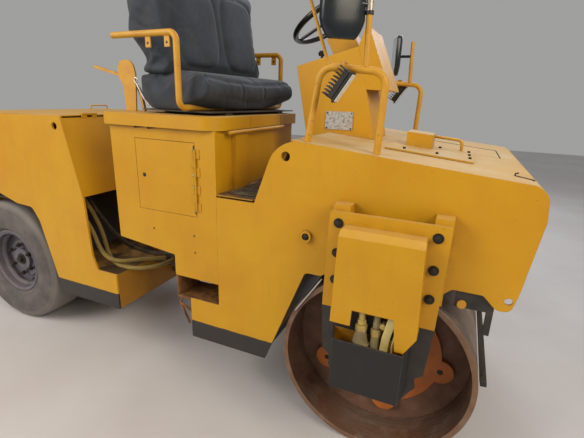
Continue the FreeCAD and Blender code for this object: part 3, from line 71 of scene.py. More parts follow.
class RollerSizes(bpy.types.PropertyGroup):
    """Sizes a user may change before the pieces are made."""
    bolt_across: bpy.props.FloatProperty(
        name="Bolt head", description="Width across the flats of the frame's bolts",
        default=0.020, min=0.01, unit="LENGTH")
    hose_diameter: bpy.props.FloatProperty(
        name="Hose diameter", description="Outer diameter of the hydraulic hoses",
        default=0.024, min=0.01, unit="LENGTH")
    cushion_swell: bpy.props.FloatProperty(
        name="Cushion swell", description="Most that a point of a cushion may move as it fills",
        default=0.024, min=0.0, unit="LENGTH")
    tyre_groove: bpy.props.FloatProperty(
        name="Tyre rib", description="Height of the moulded rings on the tyres' side walls",
        default=0.003, min=0.0, unit="LENGTH")
    lamp_depth: bpy.props.FloatProperty(
        name="Lamp depth", description="Depth of a work lamp from its fins to its glass", default=0.062,
        unit="LENGTH")


class RollerColours(bpy.types.PropertyGroup):
    """Colours a user may change before the finishes are made."""
    paint: bpy.props.StringProperty(
        name="Body paint", description="sRGB hex of the amber enamel", default="#BF8806")
    frame_paint: bpy.props.StringProperty(
        name="Chassis paint", description="sRGB hex of the lower frame's band", default="#2B2829")
    seat: bpy.props.StringProperty(
        name="Seat cover", description="sRGB hex of the seat's cloth", default="#292F39")
    hub: bpy.props.StringProperty(
        name="Hub primer", description="sRGB hex of the drum's hub plates", default="#B4601C")


def sizes():
    return bpy.context.scene.roller_sizes


def colours():
    return bpy.context.scene.roller_colours


# Node and colour tools

def linear(code):
    """A material colour from an sRGB hex value."""
    values = [int(code[i:i + 2], 16) / 255 for i in (1, 3, 5)]
    curve = [v / 12.92 if v <= 0.04045 else ((v + 0.055) / 1.055) ** 2.4 for v in values]
    return (*curve, 1.0)


def node(tree, kind, inputs=None, **settings):
    """Adds one node: settings are its own, inputs its sockets, each a value or an output to link."""
    new = tree.nodes.new(kind)
    for key, value in settings.items():
        setattr(new, key, value)
    for key, value in (inputs or {}).items():
        if isinstance(value, bpy.types.NodeSocket):
            tree.links.new(value, new.inputs[key])
        else:
            new.inputs[key].default_value = value
    return new


def per(size_mm):
    """A texture's scale for a pattern of that real size, in millimetres."""
    return 1000.0 / size_mm


MIX_FACTOR, MIX_A, MIX_B, MIX_OUT = 0, 6, 7, 2     # sockets of a colour mix


def blended(tree, factor, low, high):
    """The colour output between two colours."""
    mix = node(
        tree, "ShaderNodeMix", {MIX_FACTOR: factor, MIX_A: low, MIX_B: high}, data_type="RGBA")
    return mix.outputs[MIX_OUT]


def mapped(tree, value, low, high, out_low=0.0, out_high=1.0):
    """A value brought from one range to another, and held inside it."""
    ranged = node(tree, "ShaderNodeMapRange", {
        "Value": value, "From Min": low, "From Max": high, "To Min": out_low, "To Max": out_high})
    return ranged.outputs["Result"]


def worked(tree, operation, first, second):
    sum_node = node(tree, "ShaderNodeMath", {0: first, 1: second}, operation=operation)
    return sum_node.outputs[0]


def speckle(tree, place, size_mm, low, high, detail=4.0, rough=0.6, stretch=None):
    """A mask of noise blotches of that size, from 0 under low to 1 over high."""
    if stretch:
        place = node(tree, "ShaderNodeMapping", {"Vector": place, "Scale": stretch}).outputs[0]
    noise = node(tree, "ShaderNodeTexNoise", {
        "Vector": place, "Scale": per(size_mm), "Detail": detail, "Roughness": rough})
    return mapped(tree, noise.outputs["Fac"], low, high)


def started(name):
    """A new material, its tree, the place of a point in metres and its direction."""
    material = bpy.data.materials.new(name)
    material.use_nodes = True
    tree = material.node_tree
    tree.nodes.clear()
    coords = node(tree, "ShaderNodeTexCoord")
    return material, tree, coords.outputs["Object"], coords.outputs["Normal"]


def ended(tree, sockets, height=None, bump_mm=0.5, normal=None):
    """Closes a material with its shader, and a bump of that height where one is given."""
    sockets = dict(sockets)
    if height is not None:
        links = {"Height": height, "Distance": bump_mm * MM, "Strength": 1.0}
        if normal is not None:
            links["Normal"] = normal
        sockets["Normal"] = node(tree, "ShaderNodeBump", links).outputs["Normal"]
    elif normal is not None:
        sockets["Normal"] = normal
    shader = node(tree, "ShaderNodeBsdfPrincipled", sockets)
    node(tree, "ShaderNodeOutputMaterial", {"Surface": shader.outputs["BSDF"]})


def edge_wear(tree, radius_mm):
    """Where a sharp edge is near, from 0 to 1, and the normal rounded over it."""
    soft = node(tree, "ShaderNodeBevel", {"Radius": radius_mm * MM}, samples=4).outputs["Normal"]
    flat = node(tree, "ShaderNodeNewGeometry").outputs["Normal"]
    near = node(tree, "ShaderNodeVectorMath", {0: soft, 1: flat}, operation="DOT_PRODUCT")
    return mapped(tree, near.outputs["Value"], 0.995, 0.80), soft


# Finishes, each named for the real one and how its surface was made

EDGE_MM = 2.5
DUST = "#C9B58F"
GRIME_AND_CORNER_SHADE = "#4A3B2C"
RUST = "#5E3420"
OIL = "#1E1610"


def sprayed_enamel(name, colour, dust=0.35, belt_z=None, worn=0.5, fade="#C8970E", oil=0.0):
    """Sprayed enamel on folded sheet steel: satin, uneven, dusty on top and chipped at its edges,
    with painted shade mixed with soil darkening its corners. Below belt_z, in mm, it has the chassis colour;
    oil is how much spilt oil and boot dirt lies on its upward faces."""
    material, tree, place, direction = started(name)
    hue = blended(tree, speckle(tree, place, 420, 0.35, 0.7), linear(colour), linear(fade))
    if belt_z is not None:
        # The edge of the sprayed band wavers by about 3 mm
        height = node(tree, "ShaderNodeSeparateXYZ", {0: place}).outputs["Z"]
        wave = speckle(tree, place, 60, 0.3, 0.7)
        band = mapped(tree, worked(tree, "ADD", height, worked(tree, "MULTIPLY", wave, 0.003)),
                      belt_z * MM, (belt_z + 3) * MM)
        hue = blended(tree, band, linear(colours().frame_paint), hue)
    # Faint runs left by rain, 20 mm wide and far longer down the sheet
    streak = speckle(tree, place, 40, 0.55, 0.85, stretch=(1.0, 1.0, 0.15))
    hue = blended(tree, worked(tree, "MULTIPLY", streak, 0.10), hue, linear(GRIME_AND_CORNER_SHADE))
    # Painted shade where two sheets meet: the occlusion there darkens the enamel towards the grime colour,
    # broken up by blotches of soil
    corner = node(tree, "ShaderNodeAmbientOcclusion", {"Distance": 0.09}, samples=4).outputs["AO"]
    soil = worked(tree, "MULTIPLY", mapped(tree, corner, 0.72, 0.2, 0.0, 0.7),
                  speckle(tree, place, 45, 0.25, 0.7))
    hue = blended(tree, soil, hue, linear(GRIME_AND_CORNER_SHADE))
    # Dust lies on the upward faces
    up = node(tree, "ShaderNodeSeparateXYZ", {0: direction}).outputs["Z"]
    film = worked(tree, "MULTIPLY", mapped(tree, up, 0.3, 0.95, 0.04, 1.0),
                  speckle(tree, place, 160, 0.15, 0.7))
    film = worked(tree, "MULTIPLY", film, dust)
    hue = blended(tree, film, hue, linear(DUST))
    if oil:
        spilt = worked(tree, "MULTIPLY", mapped(tree, up, 0.5, 0.9), speckle(tree, place, 130, 0.34, 0.58))
        hue = blended(tree, worked(tree, "MULTIPLY", spilt, oil), hue, linear(OIL))
    # Chips at the edges and small stone hits show rust
    near_edge, soft = edge_wear(tree, EDGE_MM)
    chips = worked(tree, "MULTIPLY", near_edge, speckle(tree, place, 14, 0.50, 0.58))
    hits = speckle(tree, place, 9, 0.72, 0.745, detail=2.0)
    bare = worked(tree, "MULTIPLY", worked(tree, "MAXIMUM", chips, hits), worn)
    hue = blended(tree, bare, hue, linear(RUST))
    rough = mapped(tree, worked(tree, "MAXIMUM", film, bare), 0.0, 0.6, 0.40, 0.8)
    # Orange peel of about 2 mm and shallow dents of about 150 mm
    peel = worked(tree, "MULTIPLY", speckle(tree, place, 2.2, 0.2, 0.8, detail=1.0), 0.10)
    dents = worked(tree, "MULTIPLY", speckle(tree, place, 190, 0.2, 0.8, detail=1.0), 2.5)
    height = worked(tree, "SUBTRACT", worked(tree, "ADD", peel, dents), worked(tree, "MULTIPLY", bare, 0.4))
    ended(tree, {"Base Color": hue, "Roughness": rough, "IOR": 1.45}, height, 0.6, soft)
    return material


def rolled_steel(name):
    """Rolled steel drum shell: worn by stones and filmed with brown rust, scuffed round its turn."""
    material, tree, place, direction = started(name)
    across = speckle(tree, place, 26, 0.3, 0.75, stretch=(0.35, 2.6, 0.35))
    hue = blended(tree, across, linear("#8A7A6B"), linear("#6A5142"))
    hue = blended(tree, speckle(tree, place, 190, 0.42, 0.68), hue, linear("#7A5640"))
    side = node(tree, "ShaderNodeSeparateXYZ", {0: direction}).outputs["Y"]
    end = mapped(tree, worked(tree, "ABSOLUTE", side, 0.0), 0.6, 0.9)
    hue = blended(tree, worked(tree, "MULTIPLY", end, 0.55), hue, linear("#8E6A50"))
    dust = speckle(tree, place, 90, 0.5, 0.8)
    hue = blended(tree, worked(tree, "MULTIPLY", dust, 0.35), hue, linear("#A89A85"))
    near_edge, soft = edge_wear(tree, 3.0)
    hue = blended(tree, worked(tree, "MULTIPLY", near_edge, 0.5), hue, linear("#B7A48F"))
    metal = mapped(tree, dust, 0.0, 1.0, 0.55, 0.2)
    pits = speckle(tree, place, 7, 0.3, 0.7, detail=6.0)
    ended(tree,
          {"Base Color": hue, "Metallic": metal, "Roughness": mapped(tree, across, 0.0, 1.0, 0.42, 0.62)},
          pits, 0.5, soft)
    return material


def moulded_tyre(name):
    """Moulded tyre rubber: matt dark grey under pale road dust, with fine rings on its side walls."""
    material, tree, place, direction = started(name)
    offset = node(tree, "ShaderNodeVectorMath", {0: place, 1: tuple(TYRE_AXLE)}, operation="SUBTRACT")
    flat = node(tree, "ShaderNodeVectorMath", {0: offset.outputs[0], 1: (1.0, 0.0, 1.0)},
                operation="MULTIPLY")
    radius = node(tree, "ShaderNodeVectorMath", {0: flat.outputs[0]}, operation="LENGTH").outputs["Value"]
    rings = node(tree, "ShaderNodeMath", {0: worked(tree, "MULTIPLY", radius, math.tau / 0.0075)},
                 operation="SINE")
    hue = blended(tree, speckle(tree, place, 160, 0.3, 0.75), linear("#4B4745"), linear("#5E5957"))
    # The scrubbed shoulder and tread are paler than the side wall
    tread = mapped(tree, radius, TYRE_R - 0.050, TYRE_R - 0.010)
    hue = blended(tree, worked(tree, "MULTIPLY", tread, 0.6), hue, linear("#8F8882"))
    bead = mapped(tree, radius, TYRE_R * 0.56, TYRE_R * 0.50)
    hue = blended(tree, worked(tree, "MULTIPLY", bead, 0.5), hue, linear("#2E2B2A"))
    film = speckle(tree, place, 90, 0.4, 0.85)
    hue = blended(tree, worked(tree, "MULTIPLY", film, 0.35), hue, linear("#8D857D"))
    height = worked(tree, "ADD", worked(tree, "MULTIPLY", rings.outputs[0], 0.15),
                    speckle(tree, place, 5, 0.3, 0.8))
    ended(tree, {"Base Color": hue, "Roughness": 0.85, "IOR": 1.52}, height, 0.35)
    return material


def brushed_enamel(name, low, high, rough=0.5, worn=0.6, chip=RUST, dust=0.25, metal=0.0):
    """Brush-painted or primed heavy steel: plain, rough, knocked and dusty."""
    material, tree, place, direction = started(name)
    hue = blended(tree, speckle(tree, place, 75, 0.3, 0.7), linear(low), linear(high))
    near_edge, soft = edge_wear(tree, EDGE_MM)
    knock = worked(tree, "MULTIPLY", worked(tree, "MAXIMUM", near_edge, speckle(tree, place, 18, 0.62, 0.68)),
                   speckle(tree, place, 30, 0.42, 0.6))
    hue = blended(tree, worked(tree, "MULTIPLY", knock, worn), hue, linear(chip))
    up = node(tree, "ShaderNodeSeparateXYZ", {0: direction}).outputs["Z"]
    film = worked(tree, "MULTIPLY", mapped(tree, up, -0.2, 0.9, 0.25, 1.0),
                  speckle(tree, place, 65, 0.3, 0.75))
    hue = blended(tree, worked(tree, "MULTIPLY", film, dust), hue, linear(DUST))
    ended(tree, {"Base Color": hue, "Metallic": metal,
                 "Roughness": mapped(tree, film, 0.0, 1.0, rough, min(rough + 0.25, 0.95))},
          speckle(tree, place, 4, 0.2, 0.8), 0.35, soft)
    return material


def plated_steel(name, tint="#B9B2A4", rough=0.35):
    """Zinc-plated, turned or pressed steel: bright, a little dull and spotted."""
    material, tree, place, direction = started(name)
    hue = blended(tree, speckle(tree, place, 12, 0.45, 0.75), linear(tint), linear("#7C6A58"))
    ended(tree, {"Base Color": hue, "Metallic": 0.9, "Roughness": mapped(
        tree, speckle(tree, place, 6, 0.3, 0.7), 0.0, 1.0, rough, rough + 0.2)},
        speckle(tree, place, 3, 0.3, 0.7), 0.1)
    return material


def moulded_plastic(name, colour, rough=0.45, grain_mm=1.5, dust=0.3):
    """Injection-moulded plastic with a fine grain, dulled by dust on its upper faces."""
    material, tree, place, direction = started(name)
    up = node(tree, "ShaderNodeSeparateXYZ", {0: direction}).outputs["Z"]
    film = worked(tree, "MULTIPLY", mapped(tree, up, -0.1, 0.9, 0.15, 1.0),
                  speckle(tree, place, 40, 0.3, 0.75))
    hue = blended(tree, worked(tree, "MULTIPLY", film, dust), linear(colour), linear(DUST))
    near_edge, soft = edge_wear(tree, 1.5)
    ended(tree,
          {"Base Color": hue, "Roughness": mapped(tree, film, 0.0, 1.0, rough, rough + 0.3), "IOR": 1.46},
          speckle(tree, place, grain_mm, 0.3, 0.7, detail=1.0), 0.08, soft)
    return material


def woven_cover(name, colour):
    """Seat cover of a coarse woven cloth with threads about 3 mm apart, rubbed paler where it is
    sat on, with a soft sheen."""
    material, tree, place, direction = started(name)
    hue = blended(tree, speckle(tree, place, 150, 0.35, 0.7), linear(colour), linear("#353D49"))
    dust = speckle(tree, place, 80, 0.5, 0.85)
    hue = blended(tree, worked(tree, "MULTIPLY", dust, 0.14), hue, linear("#7F7B76"))
    threads = []
    for bands in ("X", "Z"):
        wave = node(tree, "ShaderNodeTexWave",
                    {"Vector": place, "Scale": per(3.0) / 2, "Distortion": 0.6, "Detail": 1.0},
                    bands_direction=bands)
        threads.append(wave.outputs["Fac"])
    weave = worked(tree, "MULTIPLY", worked(tree, "ADD", *threads), 0.5)
    hue = blended(tree, worked(tree, "MULTIPLY", mapped(tree, weave, 0.35, 0.75), 0.25), hue,
                  linear("#202428"))
    creases = worked(tree, "MULTIPLY", speckle(tree, place, 70, 0.25, 0.75, detail=2.0), 5.0)
    ended(tree, {"Base Color": hue, "Roughness": 0.78, "IOR": 1.45, "Sheen Weight": 0.12,
                 "Sheen Roughness": 0.5}, worked(tree, "ADD", weave, creases), 0.35)
    return material


def braided_hose(name, low, high):
    """Rubber hose in a woven sleeve; the real 1 mm braid is drawn 4 mm wide so that it shows."""
    material, tree, place, direction = started(name)
    weave = node(tree, "ShaderNodeTexWave", {
        "Vector": place, "Scale": per(4.0) / 2, "Distortion": 1.5, "Detail": 1.0}, bands_direction="DIAGONAL")
    hue = blended(tree, mapped(tree, weave.outputs["Fac"], 0.3, 0.7), linear(low), linear(high))
    soil = speckle(tree, place, 50, 0.40, 0.7)
    hue = blended(tree, worked(tree, "MULTIPLY", soil, 0.55), hue, linear("#6B5A3C"))
    ended(tree, {"Base Color": hue, "Roughness": 0.75, "IOR": 1.5}, weave.outputs["Fac"], 0.3)
    return material


def lined_enamel(name, outside, inside, centre):
    """Sheet tray painted dark outside and amber inside: a face that looks back to the tray's
    centre line is an inner one. It is scraped bright along its rim."""
    material, tree, place, direction = started(name)
    # Both sides of the machine are folded onto one, since they mirror each other
    split = node(tree, "ShaderNodeSeparateXYZ", {0: place}).outputs
    turned_to = node(tree, "ShaderNodeSeparateXYZ", {0: direction}).outputs
    out = worked(tree, "SUBTRACT", worked(tree, "ABSOLUTE", split["Y"], 0.0), abs(centre.y))
    side = worked(tree, "SIGN", split["Y"], 0.0)
    along = worked(tree, "MULTIPLY", worked(tree, "SUBTRACT", split["X"], centre.x), turned_to["X"])
    across = worked(tree, "MULTIPLY", worked(tree, "MULTIPLY", out, side), turned_to["Y"])
    inner = mapped(tree, worked(tree, "ADD", along, across), 0.0, -0.005)
    dirt = speckle(tree, place, 60, 0.35, 0.7)
    dark = blended(tree, dirt, linear(outside), linear("#262324"))
    amber = blended(tree, dirt, linear(inside), linear("#7A5216"))
    hue = blended(tree, inner, dark, amber)
    near_edge, soft = edge_wear(tree, 1.5)
    hue = blended(tree, worked(tree, "MULTIPLY", near_edge, 0.55), hue, linear("#A79E92"))
    ended(tree, {"Base Color": hue, "Roughness": 0.55, "IOR": 1.45}, speckle(tree, place, 5, 0.3, 0.7), 0.15,
          soft)
    return material


def pressed_glass(name, colour):
    """Pressed lamp glass, ribbed about every 6 mm."""
    material, tree, place, direction = started(name)
    ribs = node(tree, "ShaderNodeTexWave", {"Vector": place, "Scale": per(6.0) / 2}, bands_direction="X")
    ended(tree, {"Base Color": linear(colour), "Roughness": 0.08, "IOR": 1.5, "Coat Weight": 0.6},
          ribs.outputs["Fac"], 0.4)
    return material


def silvered_glass(name):
    """Silvered mirror glass with a thin film of dust."""
    material, tree, place, direction = started(name)
    film = speckle(tree, place, 35, 0.4, 0.8)
    ended(tree,
          {"Base Color": blended(tree, worked(tree, "MULTIPLY", film, 0.3), linear("#C8D0D4"),
                                 linear("#8C8B86")),
                 "Metallic": 1.0, "Roughness": mapped(tree, film, 0.0, 1.0, 0.04, 0.25)})
    return material


def tread_plate(name):
    """Pressed tread plate, rusty where boots have worn it, with raised bars 30 mm apart."""
    material, tree, place, direction = started(name)
    hue = blended(tree, speckle(tree, place, 55, 0.35, 0.65), linear("#3F2814"), linear("#7A5222"))
    bars = node(tree, "ShaderNodeTexBrick", {
        "Vector": place, "Scale": 1.0, "Mortar Size": 0.006, "Brick Width": 0.03, "Row Height": 0.015})
    ended(tree, {"Base Color": hue, "Roughness": 0.8, "Metallic": 0.1}, bars.outputs["Fac"], 0.6)
    return material


# Each finish: the material's name and how it is made
FINISHES = {
    "paint": ("enamel_sprayed_amber", lambda name: sprayed_enamel(name, colours().paint)),
    "hood": ("enamel_sprayed_amber_dusty", lambda name: sprayed_enamel(
        name, colours().paint, dust=0.95, worn=0.3)),
    "belted": ("enamel_sprayed_amber_over_chassis_band", lambda name: sprayed_enamel(
        name, colours().paint, belt_z=423)),
    "bay": ("enamel_sprayed_amber_soiled", lambda name: sprayed_enamel(
        name, "#B57C10", dust=0.35, worn=0.7, fade="#8A611A", oil=0.9)),
    "pale": ("enamel_brushed_amber", lambda name: brushed_enamel(name, "#BF8408", "#CE9A1A", 0.45, 0.5)),
    "chassis": ("chassis_paint_brushed", lambda name: brushed_enamel(
        name, "#211F20", "#302C2B", 0.5, 0.3, dust=0.12)),
    # Near black for the deep bay's plates: partly oily dirt, partly painted shade of the bay
    "oily_dark_and_painted_shade": ("chassis_paint_oily_and_painted_shade", lambda name: brushed_enamel(
        name, "#17120E", "#2A1F15", 0.6, 0.3, dust=0.06)),
    "guard": ("chassis_paint_sprayed_over_amber", lambda name: lined_enamel(
        name, "#1F1E20", "#A87410", at(1236, -783, 0))),
    "rusty": ("enamel_brushed_rusted", lambda name: brushed_enamel(
        name, "#4F3218", "#8A5A26", 0.8, 0.6, dust=0.15)),
    "steel": ("steel_rolled_rust_film", rolled_steel),
    "disc": ("steel_plate_rust_primer", lambda name: brushed_enamel(
        name, "#5A3D2E", "#7A5644", 0.8, 0.3, dust=0.2)),
    "hub": ("steel_casting_orange_primer", lambda name: brushed_enamel(
        name, colours().hub, "#9A5320", 0.6, 0.4, dust=0.12)),
    "rim": ("wheel_enamel_grey", lambda name: brushed_enamel(
        name, "#4E4B55", "#625E69", 0.5, 0.35, dust=0.14)),
    "tyre": ("tyre_rubber_moulded", moulded_tyre),
    "zinc": ("steel_zinc_plated", plated_steel),
    "bright": ("aluminium_sheet_anodised", lambda name: plated_steel(name, "#D6D5D0", 0.28)),
    "brass": ("steel_zinc_yellow_dusty", lambda name: brushed_enamel(
        name, "#9C8550", "#C9AE5C", 0.5, 0.4, chip="#6A5338", dust=0.35, metal=0.3)),
    "tan": ("steel_plated_dusty", lambda name: brushed_enamel(
        name, "#6E6244", "#8F8158", 0.6, 0.3, chip="#4E4330", dust=0.4, metal=0.2)),
    "strap": ("webbing_dusty_cream", lambda name: brushed_enamel(
        name, "#BBA65E", "#D9C987", 0.8, 0.1, chip="#8F7C46", dust=0.2)),
    "oxide": ("steel_black_oxide", lambda name: brushed_enamel(
        name, "#1C1A19", "#2E2A27", 0.45, 0.5, chip="#6E3F22", dust=0.1, metal=0.5)),
    "worn": ("rubber_perished_dark", lambda name: moulded_plastic(name, "#2A1D12", 0.8, 3.0, 0.2)),
    "black": ("polymer_moulded_black", lambda name: moulded_plastic(name, "#1B1B1D", dust=0.18)),
    "gloss": ("polymer_gloss_black", lambda name: moulded_plastic(name, "#0C0C0E", 0.15, 3.0, 0.04)),
    "housing": ("polymer_moulded_dark_grey", lambda name: moulded_plastic(name, "#182026", 0.2, 2.0, 0.06)),
    "cloth": ("cloth_woven_slate", lambda name: woven_cover(name, colours().seat)),
    "cord_tan": ("hose_braided_olive", lambda name: braided_hose(name, "#6E5E26", "#9A8440")),
    "cord_dark": ("hose_braided_black", lambda name: braided_hose(name, "#1C1713", "#33291F")),
    "lens": ("glass_pressed_clear", lambda name: pressed_glass(name, "#D9DEDC")),
    "red_lens": ("glass_pressed_red", lambda name: pressed_glass(name, "#8E1B14")),
    "mirror": ("glass_silvered", silvered_glass),
    "tread": ("tread_plate_pressed", tread_plate),
    "mat": ("rubber_mat_ribbed", lambda name: moulded_plastic(name, "#2C2724", 0.8, 4.0, 0.45)),
}


def finish(key):
    """A finish's material, made the first time that it is asked for."""
    name, make = FINISHES[key]
    return bpy.data.materials.get(name) or make(name)


def wear(obj, name):
    """Puts one finish on an object."""
    obj.data.materials.clear()
    obj.data.materials.append(finish(name))
    return obj


# Mesh tools

def at(x, y, z):
    """A point of a table, in metres."""
    return Vector((x, y, z)) * MM


def linked(name, data):
    obj = bpy.data.objects.new(name, data)
    bpy.context.scene.collection.objects.link(obj)
    return obj


def meshed(name, bm, look, body, smooth_angle=35):
    """Turns a bmesh into a piece that rides on a body."""
    mesh = bpy.data.meshes.new(name)
    bmesh.ops.recalc_face_normals(bm, faces=bm.faces)
    bm.to_mesh(mesh)
    bm.free()
    for face in mesh.polygons:
        face.use_smooth = True
    obj = linked(name, mesh)
    mesh.set_sharp_from_angle(angle=math.radians(smooth_angle))
    wear(obj, look)
    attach(obj, body)
    return obj


def facing(origin, direction):
    """The placement that turns +Z to a direction at a point."""
    turn = Vector((0, 0, 1)).rotation_difference(Vector(direction).normalized())
    return Matrix.Translation(origin) @ turn.to_matrix().to_4x4()


def add_cone(bm, origin, direction, r0, r1, low, high, segments=24, spin=0.0):
    """A capped cone or cylinder between two heights along a direction."""
    middle = Matrix.Translation((0, 0, (low + high) / 2)) @ Matrix.Rotation(spin, 4, "Z")
    bmesh.ops.create_cone(
        bm, cap_ends=True, segments=segments, radius1=r0, radius2=r1, depth=high - low,
        matrix=facing(origin, direction) @ middle)


def add_bolt(bm, origin, direction, across, spin=0.3, washer=True):
    """A hexagon head on a washer, its crown chamfered."""
    corner = across / 2 / math.cos(math.pi / 6)
    foot = 0.0
    if washer:
        add_cone(bm, origin, direction, across * 0.95, across * 0.95, 0, 0.003, 28)
        foot = 0.003
    top = foot + across * 0.55
    add_cone(bm, origin, direction, corner, corner, foot, top, 6, spin)
    add_cone(bm, origin, direction, corner * 0.93, corner * 0.78, top, top + across * 0.06, 24, spin)


def add_dome(bm, origin, direction, radius, height):
    """A round head of two steps."""
    add_cone(bm, origin, direction, radius, radius * 0.86, 0, height * 0.55, 24)
    add_cone(bm, origin, direction, radius * 0.86, radius * 0.35, height * 0.55, height, 24)


def add_block(bm, low, high, bevel=0.002):
    """A box between two corners, its edges rounded."""
    low, high = Vector(low), Vector(high)
    size = high - low
    made = bmesh.ops.create_cube(bm, size=1.0,
                                 matrix=Matrix.Translation((low + high) / 2) @ Matrix.Diagonal((*size, 1)))
    if bevel:
        edges = {e for v in made["verts"] for e in v.link_edges}
        bmesh.ops.bevel(bm, geom=list(edges), offset=bevel, segments=2, affect="EDGES")


def add_slab(bm, outline, plane, low, high, bevel=0.0):
    """An outline drawn in a plane of the frame and given a thickness; sizes in metres."""
    spots = {"xz": lambda a, b, c: (a, c, b), "xy": lambda a, b, c: (a, b, c),
             "yz": lambda a, b, c: (c, a, b)}
    place = spots[plane]
    near = [bm.verts.new(place(a, b, low)) for a, b in outline]
    far = [bm.verts.new(place(a, b, high)) for a, b in outline]
    faces = [bm.faces.new(near), bm.faces.new(list(reversed(far)))]
    count = len(outline)
    for i in range(count):
        j = (i + 1) % count
        faces.append(bm.faces.new((near[i], far[i], far[j], near[j])))
    if bevel:
        edges = {e for f in faces for e in f.edges}
        bmesh.ops.bevel(bm, geom=list(edges), offset=bevel, segments=2, affect="EDGES")


def add_turned(bm, profile, origin, direction, segments=96):
    """A closed profile of (along, radius) turned about an axis."""
    placed = facing(origin, direction)
    rings = []
    for along, radius in profile:
        ring = []
        for i in range(segments):
            angle = math.tau * i / segments
            ring.append(bm.verts.new(placed @ Vector((radius * math.cos(angle), radius * math.sin(angle),
                                                      along))))
        rings.append(ring)
    for first, second in zip(rings, rings[1:] + rings[:1]):
        for i in range(segments):
            j = (i + 1) % segments
            bm.faces.new((first[i], first[j], second[j], second[i]))


def rounded(points, radius, steps=5):
    """An outline or path with its inner corners turned into arcs."""
    path = [Vector(p) for p in points]
    out = [path[0]]
    for before, corner, after in zip(path, path[1:], path[2:]):
        a = (before - corner).normalized()
        b = (after - corner).normalized()
        half = a.angle(b) / 2
        reach = min(radius / math.tan(half), 0.45 * (before - corner).length, 0.45 * (after - corner).length)
        start = corner + a * reach
        end = corner + b * reach
        for i in range(steps + 1):
            t = i / steps
            out.append((1 - t) ** 2 * start + 2 * t * (1 - t) * corner + t * t * end)
    out.append(path[-1])
    return out


def tube(name, points, radius, look, body, bend=0.0, sides=6):
    """A round bar or wire along points in metres, its corners bent."""
    curve = bpy.data.curves.new(name, "CURVE")
    curve.dimensions = "3D"
    curve.bevel_depth = radius
    curve.bevel_resolution = sides
    curve.use_fill_caps = True
    path = rounded(points, bend) if bend else [Vector(p) for p in points]
    spline = curve.splines.new("POLY")
    spline.points.add(len(path) - 1)
    for spot, point in zip(spline.points, path):
        spot.co = (*point, 1.0)
    obj = linked(name, curve)
    obj.data.materials.append(finish(look))
    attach(obj, body)
    return obj


class Maker(bpy.types.Operator):
    """Shared base: each operator below makes one piece or a group of like pieces."""
    bl_idname = "roller.base"
    bl_label = "Base"
    bl_options = {"REGISTER", "UNDO"}

    def execute(self, context):
        self.make()
        return {"FINISHED"}

    def make(self):
        raise NotImplementedError(self.bl_label)


# Camera: where the photographer stood, with the heading, pitch and roll that fit the machine
CAMERA_AT = at(1453, -2100, 1550)
CAMERA_HEADING = math.radians(22.867)
CAMERA_PITCH = math.radians(17.283)
CAMERA_ROLL = math.radians(1.982)
FRAME_WIDTH_PX = 584
FOCAL_PX = 389.13
SENSOR_MM = 36.0


class ROLLER_OT_camera(Maker):
    """Set the camera at the photograph's place and angle"""
    bl_idname = "roller.camera"
    bl_label = "Camera"

    def make(self):
        ahead = Vector((
            -math.sin(CAMERA_HEADING) * math.cos(CAMERA_PITCH),
            math.cos(CAMERA_HEADING) * math.cos(CAMERA_PITCH), -math.sin(CAMERA_PITCH)))
        level = Vector((math.cos(CAMERA_HEADING), math.sin(CAMERA_HEADING), 0))
        upright = level.cross(ahead)
        right = level * math.cos(CAMERA_ROLL) + upright * math.sin(CAMERA_ROLL)
        top = upright * math.cos(CAMERA_ROLL) - level * math.sin(CAMERA_ROLL)
        data = bpy.data.cameras.new("photo_camera")
        data.sensor_width = SENSOR_MM
        data.lens = FOCAL_PX / FRAME_WIDTH_PX * SENSOR_MM
        data.clip_end = 60
        camera = linked("photo_camera", data)
        turn = Matrix((right, top, -ahead)).transposed().to_4x4()
        camera.matrix_world = Matrix.Translation(CAMERA_AT) @ turn
        bpy.context.scene.camera = camera


# Hoses: the routes of the frame's tubes, in mm, as control points of smooth splines
HOSES = {
    "hose_long": ("cord_tan", 0.855, [
        (-635, -478, 938), (-573, -480, 874), (-503, -490, 785), (-452, -503, 703),
        (-425, -515, 640), (-387, -527, 591), (-325, -537, 562), (-245, -535, 560), (-165, -508, 562),
        (-108, -455, 566), (-80, -395, 570), (-72, -345, 574)]),
    "hose_near": ("cord_tan", 0.740, [
        (-635, -545, 916), (-580, -547, 864), (-517, -550, 800), (-468, -556, 734),
        (-436, -562, 672), (-394, -564, 622), (-341, -555, 596), (-288, -526, 590), (-245, -478, 588),
        (-203, -428, 585), (-160, -388, 580), (-132, -345, 575)]),
    "hose_dark": ("cord_dark", 0.668, [
        (-635, -440, 942), (-596, -436, 874), (-548, -428, 803), (-490, -418, 729),
        (-425, -400, 659), (-348, -372, 608), (-262, -345, 588), (-190, -328, 588), (-140, -320, 594)]),
}


class ROLLER_OT_hoses(Maker):
    """Lay the hydraulic hoses between the block on the side plate and the bulkhead"""
    bl_idname = "roller.hoses"
    bl_label = "Hydraulic hoses"

    def make(self):
        diameter = sizes().hose_diameter
        for name, (look, length, route) in HOSES.items():
            curve = bpy.data.curves.new(name + "_cord", "CURVE")
            curve.dimensions = "3D"
            curve.bevel_depth = diameter / 2
            curve.bevel_resolution = 6
            curve.resolution_u = 12
            curve.use_fill_caps = True
            spline = curve.splines.new("NURBS")
            spline.points.add(len(route) - 1)
            for spot, point in zip(spline.points, route):
                spot.co = (*at(*point), 1.0)
            spline.order_u = 3
            spline.use_endpoint_u = True
            piece = linked(name + "_cord", curve)
            piece.data.materials.append(finish(look))
            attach(piece, "rear_frame")
            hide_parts(name)


